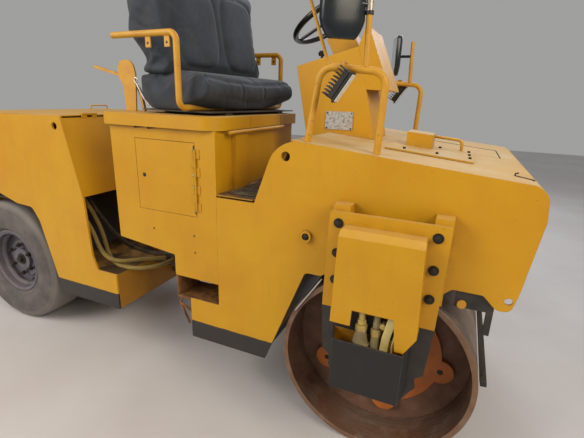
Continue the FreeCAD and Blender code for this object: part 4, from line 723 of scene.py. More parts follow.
# Finish of each node of the frame
NODE_FINISHES = {
    "belted": ["side_plate_right", "side_plate_left", "frame_crossmember", "rear_side_plate_right",
               "rear_side_plate_left"],
    "paint": ["operator_pedestal", "pedestal_door", "pedestal_top", "left_deck", "rear_front_wall",
              "rear_tail",
              "engine_lid", "console_box", "console_cover", "drum_support_right", "drum_support_left",
              "motor_covers", "drain_tubes", "steering_column"],
    "bay": ["footwell_floor", "rear_platform"],
    "hood": ["hood_shell", "hood_hatch", "hood_cover"],
    "pale": ["seat_frame", "handrails", "mirror_stalks", "seat_lever"],
    "rusty": ["steps"],
    "chassis": ["pivot_yoke", "pivot_knuckle", "drum_carriers", "drum_motors", "front_scraper", "axle_column",
                "steer_barrel", "seat_base"],
    # The bay's floor, hose blocks and engine are near black partly as painted shade of the deep bay
    "oily_dark_and_painted_shade": ["rear_floor", "hose_blocks", "engine_block"],
    "guard": ["hose_guards"],
    "steel": ["drum_shell"],
    "disc": ["drum_heads"],
    "hub": ["drum_hubs"],
    "rim": ["wheel_rims_right", "wheel_rims_left"],
    "zinc": ["steer_rod", "pivot_pin"],
    "black": ["tail_lamps"],
    "gloss": ["steering_wheel"],
}


class ROLLER_OT_finishes(Maker):
    """Make the finishes and put them on the frame's own pieces"""
    bl_idname = "roller.finishes"
    bl_label = "Finishes"

    def make(self):
        for look, names in NODE_FINISHES.items():
            for name in names:
                wear(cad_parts[name], look)


# Tyre section, one half: share of half the width, radius in shares of the tyre's
TYRE_SECTION = [
    (0.70, 0.484), (0.78, 0.492), (0.80, 0.530), (0.87, 0.550), (0.93, 0.600), (0.985, 0.680),
    (1.0, 0.740), (0.992, 0.810), (0.965, 0.870), (0.935, 0.915), (0.90, 0.950), (0.84, 0.975),
    (0.74, 0.991), (0.55, 0.998), (0.25, 1.0),
]
TYRE_RINGS = (0.575, 0.905, 0.93)      # radii of the moulded rings, in shares of the tyre's


def tyre_profile(half, groove):
    """The tyre's closed section, with rings that stand out of the side walls."""
    side = []
    for share, radius in TYRE_SECTION:
        side.append((share * half, radius * TYRE_R))
    smooth = []
    for (a0, r0), (a1, r1) in zip(side, side[1:]):
        for i in range(4):
            t = i / 4
            smooth.append((a0 + (a1 - a0) * t, r0 + (r1 - r0) * t))
    smooth.append(side[-1])
    raised = []
    for along, radius in smooth:
        lift = sum(groove * math.exp(-((radius / TYRE_R - ring) / 0.008) ** 2) for ring in TYRE_RINGS)
        raised.append((min(along + lift, half), radius))
    return [(-a, r) for a, r in raised] + list(reversed(raised))


class ROLLER_OT_tyres(Maker):
    """Mould the four smooth tyres with rings on their side walls"""
    bl_idname = "roller.tyres"
    bl_label = "Tyres"

    def make(self):
        for side, name in ((-1, "right"), (1, "left")):
            low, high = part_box("tyres_" + name)
            width = 0.262
            outer = side * (max(abs(low.y), abs(high.y)) - width / 2)
            inner = side * (min(abs(low.y), abs(high.y)) + width / 2)
            bm = bmesh.new()
            for centre in (outer, inner):
                origin = Vector((TYRE_AXLE.x, centre, TYRE_R))
                add_turned(bm, tyre_profile(width / 2, sizes().tyre_groove), origin, (0, 1, 0), 112)
            piece = meshed("tyre_pair_" + name, bm, "tyre", "wheels_" + name)
            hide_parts("tyres_" + name)


STUD_PITCH_R = 0.1025       # circle of the wheel studs
DISC_Y = 0.486              # face of the outer wheel's disc, from the machine's middle


class ROLLER_OT_wheel_trim(Maker):
    """Add the wheels' bead rings, valves, stud nuts and axle nuts"""
    bl_idname = "roller.wheel_trim"
    bl_label = "Wheel trim"

    def make(self):
        for side, name in ((-1, "right"), (1, "left")):
            low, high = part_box("tyres_" + name)
            face = max(abs(low.y), abs(high.y))
            out = Vector((0, side, 0))
            lip = Vector((TYRE_AXLE.x, side * (face - 0.030), TYRE_R))
            bm = bmesh.new()
            flange = [(-0.016, 0.198), (-0.016, 0.214), (0.004, 0.219), (0.008, 0.214), (0.004, 0.203),
                      (-0.006, 0.197)]
            add_turned(bm, flange, lip, out, 96)
            lock_ring = [(-0.05, 0.176), (-0.05, 0.186), (-0.04, 0.193), (-0.028, 0.193), (-0.028, 0.187),
                         (-0.04, 0.178)]
            add_turned(bm, lock_ring, lip, out, 96)
            meshed("wheel_ring_" + name, bm, "rim", "wheels_" + name)
            bm = bmesh.new()
            cap_y = side * DISC_Y
            for i in range(6):
                angle = math.radians(60 * (i + 0.5))
                spot = Vector((TYRE_AXLE.x + STUD_PITCH_R * math.cos(angle), cap_y,
                               TYRE_R + STUD_PITCH_R * math.sin(angle)))
                add_cone(bm, spot, out, 0.016, 0.015, 0.050, 0.064, 6, i)
                add_cone(bm, spot, out, 0.008, 0.007, 0.064, 0.074, 16)
            middle = Vector((TYRE_AXLE.x, cap_y, TYRE_R))
            add_cone(bm, middle, out, 0.040, 0.036, 0.046, 0.056, 32)
            add_cone(bm, middle, out, 0.024, 0.022, 0.056, 0.074, 6)
            valve = Vector((TYRE_AXLE.x + 0.125, side * (face - 0.09), TYRE_R - 0.115))
            add_cone(bm, valve, out, 0.006, 0.005, 0, 0.05, 12)
            meshed("wheel_studs_" + name, bm, "oxide", "wheels_" + name)


# Seat: cushion and back, filled by a cloth simulation, then sewn
SEAT_TURN_AT = at(190, -160, 0)
SEAT_TURN = math.radians(-4.5)
SEAT_Y = -0.160


def seat_placed():
    """The seat stands a little askew on the tray."""
    return (Matrix.Translation(SEAT_TURN_AT) @ Matrix.Rotation(SEAT_TURN, 4, "Z")
            @ Matrix.Translation(-SEAT_TURN_AT))


def padded_block(name, outline, low, high, voxel):
    """A closed block of even faces, from an outline in the xz plane."""
    bm = bmesh.new()
    add_slab(bm, outline, "xz", low, high)
    bmesh.ops.recalc_face_normals(bm, faces=bm.faces)
    mesh = bpy.data.meshes.new(name)
    bm.to_mesh(mesh)
    bm.free()
    obj = linked(name, mesh)
    soften = obj.modifiers.new("round", "BEVEL")
    soften.width = 0.022
    soften.segments = 3
    remesh = obj.modifiers.new("even", "REMESH")
    remesh.mode = "VOXEL"
    remesh.voxel_size = voxel
    bake(obj)
    return obj


def bake(obj):
    """Applies every modifier to the mesh."""
    graph = bpy.context.evaluated_depsgraph_get()
    graph.update()
    mesh = bpy.data.meshes.new_from_object(obj.evaluated_get(graph))
    obj.modifiers.clear()
    old = obj.data
    obj.data = mesh
    bpy.data.meshes.remove(old)


def filled(obj, pressure, held):
    """Swells a block like a stuffed cover; points for which held is true stay where they are."""
    before = [v.co.copy() for v in obj.data.vertices]
    group = obj.vertex_groups.new(name="held")
    group.add([v.index for v in obj.data.vertices if held(v.co)], 1.0, "REPLACE")
    cloth = obj.modifiers.new("fill", "CLOTH")
    settings = cloth.settings
    settings.use_pressure = True
    settings.uniform_pressure_force = pressure
    settings.effector_weights.gravity = 0.0
    settings.vertex_group_mass = "held"
    settings.quality = 4
    settings.tension_stiffness = 25
    settings.compression_stiffness = 25
    settings.bending_stiffness = 2.0
    cloth.collision_settings.use_collision = False
    cloth.point_cache.frame_start = 1
    cloth.point_cache.frame_end = 20
    scene = bpy.context.scene
    for number in range(1, 21):
        scene.frame_set(number)
    bake(obj)
    scene.frame_set(1)
    most = sizes().cushion_swell
    for vertex, start in zip(obj.data.vertices, before):
        move = vertex.co - start
        if move.length > most:
            vertex.co = start + move.normalized() * most


def seam_dip(distance, width, depth):
    """How far a sewn channel pulls the cover in at a distance from it."""
    return depth * math.exp(-(distance / width) ** 2)


def finish_pad(obj, dips):
    """Pulls the seams in along each point's normal, smooths once and places the pad."""
    mesh = obj.data
    normals = [v.normal.copy() for v in mesh.vertices]
    for vertex, normal in zip(mesh.vertices, normals):
        pull = sum(dip(vertex.co) for dip in dips)
        vertex.co = vertex.co - normal * pull
    fine = obj.modifiers.new("fine", "SUBSURF")
    fine.levels = 1
    fine.render_levels = 1
    bake(obj)
    for face in obj.data.polygons:
        face.use_smooth = True
    obj.data.transform(seat_placed())
    wear(obj, "cloth")
    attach(obj, "front_frame")


class ROLLER_OT_seat(Maker):
    """Stuff and sew the seat's cushion and back"""
    bl_idname = "roller.seat"
    bl_label = "Seat"

    def make(self):
        self.make_cushion()
        self.make_back()

    def make_cushion(self):
        foot = TRAY_TOP + 0.0195
        top = 1.634
        nose = 0.428
        outline = [
            (0.075, foot), (0.268, foot), (0.268, foot + 0.032), (0.400, foot + 0.032), (nose, foot + 0.062),
            (nose, top - 0.046), (0.398, top - 0.010), (0.200, top + 0.002), (0.008, top),
            (0.008, foot + 0.085),
            (0.020, foot + 0.035)]
        pad = padded_block("seat_cushion_pad", outline, SEAT_Y - CUSHION_HALF, SEAT_Y + CUSHION_HALF, 0.009)
        filled(pad, 4.0, lambda p: p.z < foot + 0.012 or p.x < 0.012)
        finish_pad(pad, [
            # Seam round the top's edge, then three across the front roll
            lambda p: seam_dip(p.x - 0.392, 0.007, 0.006) if p.z > top - 0.03 else 0.0,
            lambda p: (seam_dip(abs(p.y - SEAT_Y) - CUSHION_HALF + 0.030, 0.007, 0.006)
                       if p.z > top - 0.03 else 0.0),
            lambda p: roll(p) * seam_dip(p.y - SEAT_Y + 0.110, 0.007, 0.006),
            lambda p: roll(p) * seam_dip(p.y - SEAT_Y - 0.097, 0.007, 0.006),
        ])
        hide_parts("seat_cushion")

    def make_back(self):
        low = 1.642
        top = 2.150
        outline = [
            (0.010, low), (0.176, low), (0.184, low + 0.060), (0.118, top - 0.035), (0.082, top),
            (-0.060, top),
            (-0.094, top - 0.040), (-0.074, 1.850), (0.006, 1.712)]
        pad = padded_block("seat_back_pad", outline, SEAT_Y - BACK_HALF, SEAT_Y + BACK_HALF, 0.010)
        filled(pad, 4.0, lambda p: p.z < low + 0.012)
        finish_pad(pad, [lambda p: -lumbar(p)])
        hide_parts("seat_back")


CUSHION_HALF = 0.415
BACK_HALF = 0.405
LUMBAR_Y = 0.178            # middle of each lumbar pad, from the seat's
LUMBAR_Z = 1.870
LUMBAR_SIZE = (0.148, 0.185)
LUMBAR_RISE = 0.011
LUMBAR_SEAM = 0.006


def roll(point):
    """1 on the cushion's front roll."""
    return 1.0 if point.x > 0.395 else 0.0


def lumbar(point):
    """Rise of the back's two lumbar pads, side by side, and the sunk seam round each."""
    if point.x < 0.184 - (point.z - 1.65) * 0.135 - 0.045:
        return 0.0
    across = abs(abs(point.y - SEAT_Y) - LUMBAR_Y) / LUMBAR_SIZE[0]
    upward = abs(point.z - LUMBAR_Z) / LUMBAR_SIZE[1]
    reach = (across ** 4 + upward ** 4) ** 0.25
    rise = LUMBAR_RISE * math.sqrt(max(0.0, 1.0 - reach ** 3))
    return rise - LUMBAR_SEAM * math.exp(-((reach - 1.04) / 0.06) ** 2)


# Bolts on the flanges, and small screws on the plates: x, y of the face on the right side, z, in mm
FLANGE_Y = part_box("drum_support_right")[0].y / MM
FLANGE_BOLTS = [(x, z) for x in (1070, 1428) for z in (1103, 982, 868)]
PLATE_SCREWS = [(330, 895), (332, 808), (83, 895)]
HOOD_BOLTS = [(1228, -344), (1363, -331), (1494, -309), (1492, -201), (1490, -81), (1361, -88), (1229, -105)]


HOOD_FALL = math.radians(5.5)


def hood_height(x_mm):
    """Height of the hood's face, in mm."""
    return 1388 - (x_mm - 821) * math.tan(HOOD_FALL)


class ROLLER_OT_bolts(Maker):
    """Screw in the hexagon bolts of both flanges, of the drain tubes' plugs and of the hood"""
    bl_idname = "roller.bolts"
    bl_label = "Bolts"

    def make(self):
        across = sizes().bolt_across
        drain_low, drain_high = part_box("drain_tubes")
        drain_x = (drain_low.x + drain_high.x) / 2
        drain_z = (drain_low.z + drain_high.z) / 2
        for side, name in ((1, "right"), (-1, "left")):
            bm = bmesh.new()
            out = Vector((0, -side, 0))
            for i, (x, z) in enumerate(FLANGE_BOLTS):
                add_bolt(bm, at(x, FLANGE_Y * side, z), out, across, 0.3 + i)
            plug_y = -side * (HALF_WIDTH + 0.004)
            add_bolt(bm, Vector((drain_x, plug_y, drain_z)), out, across * 1.1, 0.2, False)
            meshed("frame_bolts_" + name, bm, "oxide", "front_frame")
        bm = bmesh.new()
        for x, z in PLATE_SCREWS:
            add_dome(bm, at(x, -650, z), (0, -1, 0), 0.006, 0.003)
        meshed("plate_screws", bm, "rusty", "front_frame")
        bm = bmesh.new()
        up = (math.sin(HOOD_FALL), 0, math.cos(HOOD_FALL))
        for i, (x, y) in enumerate(HOOD_BOLTS):
            add_bolt(bm, at(x, y, hood_height(x) + 8), up, 0.012, i, False)
        meshed("hood_bolts", bm, "oxide", "front_frame")


FITTING_Y = 0.780           # hydraulic fittings behind the notch of each motor cover


class ROLLER_OT_covers(Maker):
    """Fit the hydraulic elbows, nuts, hoses and the pale strap below each motor cover"""
    bl_idname = "roller.covers"
    bl_label = "Motor fittings"

    def make(self):
        for side, name in ((-1, "right"), (1, "left")):
            out = (0, side, 0)
            bright = bmesh.new()
            dull = bmesh.new()
            # Near fitting: two nuts over a spreading body
            spot = Vector((1.202, side * FITTING_Y, 0))
            add_cone(bright, spot, (0, 0, 1), 0.013, 0.013, 0.749, 0.800, 20)
            add_cone(bright, spot, (0, 0, 1), 0.018, 0.018, 0.731, 0.750, 6, 0.4)
            add_cone(bright, spot, (0, 0, 1), 0.023, 0.023, 0.702, 0.729, 6, 0.9)
            add_cone(dull, spot, (0, 0, 1), 0.030, 0.020, 0.650, 0.700, 20)
            add_cone(dull, spot + Vector((0.006, 0, 0)), (0, 0, 1), 0.020, 0.030, 0.560, 0.650, 20)
            # Far fitting: smaller, with a bent pipe that rises behind the cover
            spot = Vector((1.258, side * (FITTING_Y - 0.012), 0))
            add_cone(dull, spot, (0, 0, 1), 0.016, 0.016, 0.722, 0.748, 6, 0.2)
            add_cone(dull, spot, (0, 0, 1), 0.012, 0.012, 0.748, 0.790, 20)
            add_cone(bright, spot, (0, 0, 1), 0.021, 0.021, 0.688, 0.716, 6, 0.6)
            add_cone(dull, spot, (0, 0, 1), 0.024, 0.017, 0.600, 0.688, 20)
            add_cone(bright, Vector((1.283, side * (FITTING_Y - 0.03), 0.735)), out, 0.013, 0.013, 0.0, 0.03,
                     6)
            meshed("motor_nuts_" + name, bright, "brass", "front_frame")
            meshed("motor_elbows_" + name, dull, "tan", "front_frame")
            for i, (x, y) in enumerate(((1202, 780), (1258, 768))):
                tube(f"motor_hose_{name}_{i}", [
                    at(x, side * y, 610), at(x, side * y, 560), at(x + 14, side * (y - 8), 510),
                    at(x + 30, side * (y - 20), 462)],
                    0.011, "cord_dark", "front_frame", 0.05)
            strap = bmesh.new()
            path = [(1317, 792), (1308, 745), (1299, 700), (1296, 660), (1294, 622)]
            left = [at(x - 15, 0, z) for x, z in path]
            right = [at(x + 15, 0, z - 3) for x, z in reversed(path)]
            near, far = sorted((side * 0.785, side * 0.789))
            add_slab(strap, [(p.x, p.z) for p in left + right], "xz", near, far)
            meshed("motor_strap_" + name, strap, "strap", "front_frame")
            tube("motor_wire_" + name, [
                at(1336, side * 782, 790), at(1332, side * 784, 730), at(1324, side * 784, 670),
                at(1326, side * 780, 600)],
                0.003, "strap", "front_frame", 0.04)


LAMP_X = {-1: 1004, 1: 1020}
LAMP_Z = 1605
LAMP_TILT = math.radians(34)
LAMP_FINS = 9


def lamp_shape(bm, lens, centre):
    """One work lamp: a square body with close cooling fins behind and a lens ahead."""
    depth = sizes().lamp_depth
    turn = Matrix.Translation(centre) @ Matrix.Rotation(LAMP_TILT, 4, "Y")
    body = bmesh.new()
    half_h = 0.058
    half_y = 0.023
    back = -depth / 2
    front = depth / 2 - 0.003
    core = back + depth * 0.40
    add_slab(body, [(core, -half_h), (front - 0.010, -half_h), (front - 0.010, half_h), (core, half_h)],
             "xz", -half_y, half_y, 0.004)
    fin = 0.0034
    pitch = (2 * half_h - fin) / (LAMP_FINS - 1)
    for i in range(LAMP_FINS):
        z = -half_h + pitch * i
        add_slab(body, [(back, z), (core + 0.004, z), (core + 0.004, z + fin), (back, z + fin)],
                 "xz", -half_y, half_y, 0.0008)
    rim = 0.006
    add_slab(body, [(front - 0.010, -half_h - rim), (front, -half_h - rim), (front, half_h + rim),
                    (front - 0.010, half_h + rim)], "xz", -half_y - 0.003, half_y + 0.003, 0.003)
    body.transform(turn)
    glass = bmesh.new()
    add_slab(glass, [(front - 0.002, -half_h), (front + 0.003, -half_h), (front + 0.003, half_h),
                     (front - 0.002, half_h)], "xz", -half_y + 0.001, half_y - 0.001, 0.002)
    glass.transform(turn)
    pour(body, bm)
    pour(glass, lens)


def pour(part, target):
    """Moves the faces of one bmesh into another."""
    mesh = bpy.data.meshes.new("part")
    part.to_mesh(mesh)
    part.free()
    target.from_mesh(mesh)
    bpy.data.meshes.remove(mesh)


class ROLLER_OT_lamps(Maker):
    """Build the work lamps on the handrails and the tail lamps' lenses"""
    bl_idname = "roller.lamps"
    bl_label = "Lamps"

    def make(self):
        bodies = bmesh.new()
        lenses = bmesh.new()
        brackets = bmesh.new()
        for side in (-1, 1):
            y = side * 636
            x = LAMP_X[side]
            lamp_shape(bodies, lenses, at(x, y, LAMP_Z))
            add_block(brackets, at(x - 4, y - 4, LAMP_Z + 18), at(x + 20, y + 4, 1683), 0.001)
            near, far = sorted((side * 600, y))
            add_block(brackets, at(x - 4, near, 1677), at(x + 20, far, 1683), 0.001)
        lamp = meshed("work_lamp_bodies", bodies, "black", "front_frame")
        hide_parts("work_lamps")
        meshed("work_lamp_brackets", brackets, "pale", "front_frame")
        meshed("work_lamp_lenses", lenses, "lens", "front_frame")
        bm = bmesh.new()
        low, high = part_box("tail_lamps")
        for side in (-1, 1):
            add_dome(bm, Vector((low.x + 0.004, side * 0.480, (low.z + high.z) / 2)), (-1, 0, 0), 0.033,
                     0.008)
        meshed("tail_lamp_lenses", bm, "red_lens", "rear_frame")


MIRROR_SIZE = (0.166, 0.041, 0.229)
# Each side's mirror: x, out from the stalk, z of its foot, in mm, and its turn in degrees
MIRRORS = {-1: (1010, 50, 1755, 37), 1: (996, 0, 1707, 72)}
STALK_Y = 600
# Foot and top of each side's stalk: x and z, in mm
STALKS = {-1: ((1094, 1638), (1086, 1990)), 1: ((1094, 1638), (1086, 1905))}


def stalk_place(side, z):
    """The middle of a stalk at a height, in metres."""
    (foot_x, foot_z), (top_x, top_z) = STALKS[side]
    share = (z - foot_z) / (top_z - foot_z)
    return at(foot_x + share * (top_x - foot_x), side * STALK_Y, z)


def housing_section(half, depth, steps=16):
    """Plan of a mirror's housing: straight sides and a back that bulges."""
    section = [(-half, depth * 0.45), (half, depth * 0.45)]
    for i in range(steps + 1):
        angle = math.pi * i / steps
        across = math.cos(angle)
        section.append((
            half * math.copysign(abs(across) ** 0.6, across),
            depth * (0.25 - 0.75 * math.sin(angle) ** 0.75)))
    return section


class ROLLER_OT_mirrors(Maker):
    """Shape the mirrors' housings and glass, their arms and the near stalk's sleeve"""
    bl_idname = "roller.mirrors"
    bl_label = "Mirrors"

    def make(self):
        shells = bmesh.new()
        glasses = bmesh.new()
        clamps = bmesh.new()
        width, depth, height = MIRROR_SIZE
        half = width / 2
        for side, (x, out, z, yaw) in MIRRORS.items():
            shell = bmesh.new()
            shell_mesh(shell, housing_section(half, depth), height)
            face = bmesh.new()
            add_slab(face, [(-half * 0.66, height * 0.06), (half * 0.66, height * 0.06),
                            (half * 0.9, height * 0.22), (half * 0.9, height * 0.95),
                            (-half * 0.9, height * 0.95), (-half * 0.9, height * 0.22)],
                     "xz", depth * 0.44, depth * 0.50, 0.0)
            place = at(x, side * (STALK_Y + out), z)
            turn = Matrix.Translation(place) @ Matrix.Rotation(-side * math.radians(yaw), 4, "Z")
            if side > 0:
                turn = turn @ Matrix.Rotation(math.pi, 4, "Z")
            shell.transform(turn)
            face.transform(turn)
            pour(shell, shells)
            pour(face, glasses)
            arm_z = place.z + height / 2
            start = stalk_place(side, arm_z / MM)
            end = Vector((place.x + 0.010, place.y, arm_z))
            add_cone(shells, start, end - start, 0.009, 0.009, 0, (end - start).length, 16)
        # The near mirror's ring and its bright sleeve
        low = stalk_place(-1, 1838)
        high = stalk_place(-1, 1988)
        add_cone(clamps, low, high - low, 0.015, 0.015, 0, 0.012, 24)
        sleeve = bmesh.new()
        add_cone(sleeve, low, high - low, 0.0125, 0.0125, 0.012, (high - low).length, 24)
        piece = meshed("mirror_shells", shells, "housing", "front_frame", 50)
        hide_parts("mirrors")
        meshed("mirror_glasses", glasses, "mirror", "front_frame")
        meshed("mirror_ring", clamps, "black", "front_frame")
        meshed("mirror_sleeve", sleeve, "zinc", "front_frame")


def shell_mesh(bm, section, height):
    """A housing of one section in plan, narrowed towards its foot, with its ends drawn in."""
    levels = [(0.0, 0.58), (0.02, 0.66), (0.05, 0.72), (0.12, 0.84), (0.20, 0.94), (0.28, 1.0), (0.90, 1.0),
              (0.97, 0.93), (1.0, 0.80)]
    rings = []
    for share, scale in levels:
        rings.append([bm.verts.new((x * scale, y * scale, height * share)) for x, y in section])
    count = len(section)
    for first, second in zip(rings, rings[1:]):
        for i in range(count):
            j = (i + 1) % count
            bm.faces.new((first[i], first[j], second[j], second[i]))
    bm.faces.new(rings[0])
    bm.faces.new(list(reversed(rings[-1])))


# Middle of the steering wheel, and how far its column leans back
WHEEL_AT = (760, 0, 1950)
WHEEL_TILT = math.radians(30)


class ROLLER_OT_console(Maker):
    """Fit out the console: blank plate, knob, gauges, switches and the wheel's hub cap"""
    bl_idname = "roller.console"
    bl_label = "Console"

    def make(self):
        bm = bmesh.new()
        add_block(bm, at(798, -154, 1404), at(941, -150, 1492), 0.001)
        meshed("console_blank_plate", bm, "bright", "front_frame")
        bm = bmesh.new()
        for x, z in ((806, 1411), (933, 1411), (806, 1485), (933, 1485)):
            add_dome(bm, at(x, -154, z), (0, -1, 0), 0.004, 0.003)
        meshed("console_screws", bm, "oxide", "front_frame")
        # Knob on a stub beside the column
        bm = bmesh.new()
        add_cone(bm, at(750, -120, 1742), (0, 0, 1), 0.007, 0.007, -0.02, 0.012, 16)
        add_cone(bm, at(750, -120, 1754), (0, 0, 1), 0.016, 0.020, 0.0, 0.014, 24)
        add_cone(bm, at(750, -120, 1768), (0, 0, 1), 0.020, 0.012, 0.0, 0.010, 24)
        meshed("console_knob", bm, "gloss", "front_frame")
        # The face towards the operator leans back: a panel with two plain dials and a row of keys
        rear_low = at(629, 0, 1705)
        top = at(942, 0, 1793)
        along = (top - rear_low).normalized()
        out = along.cross(Vector((0, 1, 0))).normalized()
        out = out if out.z > 0 else -out
        bm = bmesh.new()
        for y in (-75, 75):
            spot = rear_low + along * 0.075 + at(0, y, 0)
            add_cone(bm, spot, out, 0.034, 0.034, -0.002, 0.008, 32)
        for i in range(5):
            spot = rear_low + along * 0.150 + at(0, -80 + 40 * i, 0)
            add_cone(bm, spot, out, 0.010, 0.009, -0.002, 0.012, 20)
        meshed("console_dials", bm, "black", "front_frame")
        bm = bmesh.new()
        for y in (-75, 75):
            spot = rear_low + along * 0.075 + at(0, y, 0)
            add_cone(bm, spot, out, 0.029, 0.029, 0.006, 0.0095, 32)
        meshed("console_dial_glass", bm, "lens", "front_frame")
        axis = Vector((-math.sin(WHEEL_TILT), 0, math.cos(WHEEL_TILT)))
        centre = at(*WHEEL_AT)
        bm = bmesh.new()
        add_cone(bm, centre, axis, 0.040, 0.034, 0.010, 0.026, 32)
        add_cone(bm, centre, axis, 0.022, 0.018, 0.026, 0.031, 24)
        meshed("wheel_cap", bm, "gloss", "steering_wheel")
        bm = bmesh.new()
        add_cone(bm, centre - axis * 0.055, axis, 0.040, 0.034, -0.03, 0.02, 32)
        meshed("column_boot", bm, "black", "front_frame")


class ROLLER_OT_door(Maker):
    """Add the locker door's keyhole and the painted shadows under the tray's lip"""
    bl_idname = "roller.door"
    bl_label = "Locker door"

    def make(self):
        bm = bmesh.new()
        add_cone(bm, at(48, -650, 1167), (0, -1, 0), 0.010, 0.010, 0, 0.0012, 28)
        meshed("door_keyhole", bm, "oxide", "pedestal_door")
        bm = bmesh.new()
        add_cone(bm, at(44, -651, 1171), (0, -1, 0), 0.006, 0.006, 0, 0.0016, 20)
        meshed("door_lock", bm, "rusty", "pedestal_door")
        # Worn, dark strip beside the hinge with a row of bright screws
        bm = bmesh.new()
        add_block(bm, at(345, -651.2, 1006), at(350, -649.8, 1330), 0)
        meshed("door_strip", bm, "worn", "pedestal_door")
        bm = bmesh.new()
        for i in range(6):
            add_dome(bm, at(341, -650, 1020 + 58 * i), (0, -1, 0), 0.0045, 0.003)
        meshed("door_screws", bm, "zinc", "pedestal_door")
        # Two thin dark plates just under the tray's lip paint the shadow there
        bm = bmesh.new()
        for x0, x1, z1 in ((3, 71, 1400), (84, 140, 1399)):
            add_slab(bm, [tuple(at(x0, z1, 0).xy), tuple(at(x1, z1, 0).xy), tuple(at(x1 - 6, z1 - 5, 0).xy),
                          tuple(at(x0 + 4, z1 - 11, 0).xy)], "xz", -0.6512, -0.6502)
        meshed("tray_lip_painted_shadows", bm, "oxide", "front_frame")


class ROLLER_OT_floor_plates(Maker):
    """Lay the ribbed floor mat and the bars of the step treads"""
    bl_idname = "roller.floor_plates"
    bl_label = "Floor and treads"

    def make(self):
        floor_z = 1118
        bm = bmesh.new()
        add_block(bm, at(500, -600, floor_z), at(690, 600, floor_z + 4), 0.001)
        for i in range(11):
            x = 508 + 17 * i
            add_block(bm, at(x, -596, floor_z + 3), at(x + 7, 596, floor_z + 7), 0.001)
        meshed("floor_mat", bm, "mat", "front_frame", 60)
        for side, name in ((-1, "right"), (1, "left")):
            bm = bmesh.new()
            inner, outer = sorted((side * 474, side * 646))
            add_block(bm, at(218, inner, 550), at(450, outer, 552), 0)
            for i in range(12):
                for j in range(8):
                    x = 224 + i * 19
                    y = inner + 12 + j * 20
                    add_block(bm, at(x, y, 551), at(x + 11, y + 4, 554), 0.0008)
            meshed("step_tread_" + name, bm, "tread", "front_frame", 60)


SCRAPER_TUBE_END = (1541.5, 641.7, 828.8)
SEAL_RISE = 1.6             # how far the hatch's seal stands above the hood, in mm


def seal_at(bm, x0, x1, y0, y1):
    """A flat strip that follows the hood's slope, from just below its face."""
    outline = [(x0, hood_height(x0) - 3), (x1, hood_height(x1) - 3), (x1, hood_height(x1) + SEAL_RISE),
               (x0, hood_height(x0) + SEAL_RISE)]
    add_slab(bm, [(x * MM, z * MM) for x, z in outline], "xz", y0 * MM, y1 * MM)


class ROLLER_OT_handles(Maker):
    """Bend the handles, hooks, stays and small rods, and weld on the seat's tabs"""
    bl_idname = "roller.handles"
    bl_label = "Handles and rods"

    def make(self):
        for i, (x, y0, y1) in enumerate(((-1640, -390, -270), (-1535, 422, 594))):
            tube(f"lid_handle_{i}", [at(x, y0, 1400), at(x, y0, 1430), at(x, y1, 1430), at(x, y1, 1400)],
                 0.006, "pale", "engine_lid", 0.018)
        tube("seat_hook", [
            at(-2, -604, 1592), at(14, -606, 1566), at(38, -604, 1523), at(79, -600, 1482)],
            0.0035, "bright", "front_frame", 0.02)
        tube("seat_hook_eye", [
            at(-2, -604, 1592), at(-14, -604, 1604), at(-6, -604, 1618), at(8, -604, 1612),
            at(2, -604, 1596)],
            0.0035, "bright", "front_frame", 0.006)
        for side, name in ((-1, "right"), (1, "left")):
            tube("drum_rod_" + name, [at(985, side * 633, 806), at(866, side * 633, 622)],
                 0.004, "bright", "front_frame")
            cap = bmesh.new()
            add_cone(cap, at(*SCRAPER_TUBE_END[:1], side * SCRAPER_TUBE_END[1], SCRAPER_TUBE_END[2]),
                     (0, side, 0), 0.0175, 0.0165, -0.003, 0.003, 28)
            meshed("scraper_cap_" + name, cap, "pale", "front_frame")
        # Two holed tabs under each arm of the seat's tube
        bm = bmesh.new()
        for side in (-1, 1):
            y = SEAT_Y + side * 0.458
            for x in (0.130, 0.245):
                add_slab(bm, [(x - 0.016, 1.745), (x + 0.016, 1.745), (x + 0.016, 1.796), (x - 0.016, 1.796)],
                         "xz", y - 0.003, y + 0.003, 0.001)
        bm.transform(seat_placed())
        meshed("seat_tabs", bm, "pale", "front_frame")
        bm = bmesh.new()
        for side in (-1, 1):
            y = SEAT_Y + side * 0.458
            for x in (0.130, 0.245):
                add_cone(bm, Vector((x, y, 1.764)), (0, 1, 0), 0.006, 0.006, -0.0035, 0.0035, 20)
        add_block(bm, (0.290, SEAT_Y - 0.160, TRAY_TOP), (0.330, SEAT_Y - 0.130, TRAY_TOP + 0.014), 0.002)
        bm.transform(seat_placed())
        meshed("seat_tab_holes", bm, "oxide", "front_frame")
        # Dark seal in the hatch's joint at its front and left edges, and a dark strip along the cover's edge
        # that paints the shadow under it
        bm = bmesh.new()
        seal_at(bm, 1628.3, 1631.8, -28, 311)
        seal_at(bm, 1300, 1631.8, 308.3, 311.8)
        meshed("hatch_seal", bm, "worn", "front_frame")
        # Painted shadow: a thin dark strip along the hood cover's edge
        bm = bmesh.new()
        seal_at(bm, 1156, 1506, -401, -397.3)
        meshed("cover_edge_painted_shadow", bm, "rusty", "front_frame")
        # A slit in the hood's right edge with a hook in it
        slit = [(1646, -511), (1705, -544)]
        tube("hood_slit", [at(x, y, hood_height(x) + 0.5) for x, y in slit], 0.0028, "oxide", "front_frame")
        x, y = slit[0]
        tube("hood_slit_hook", [
            at(x, y, hood_height(x)), at(x, y, hood_height(x) + 9), at(x + 10, y - 4, hood_height(x) + 12)],
            0.0028, "oxide", "front_frame")


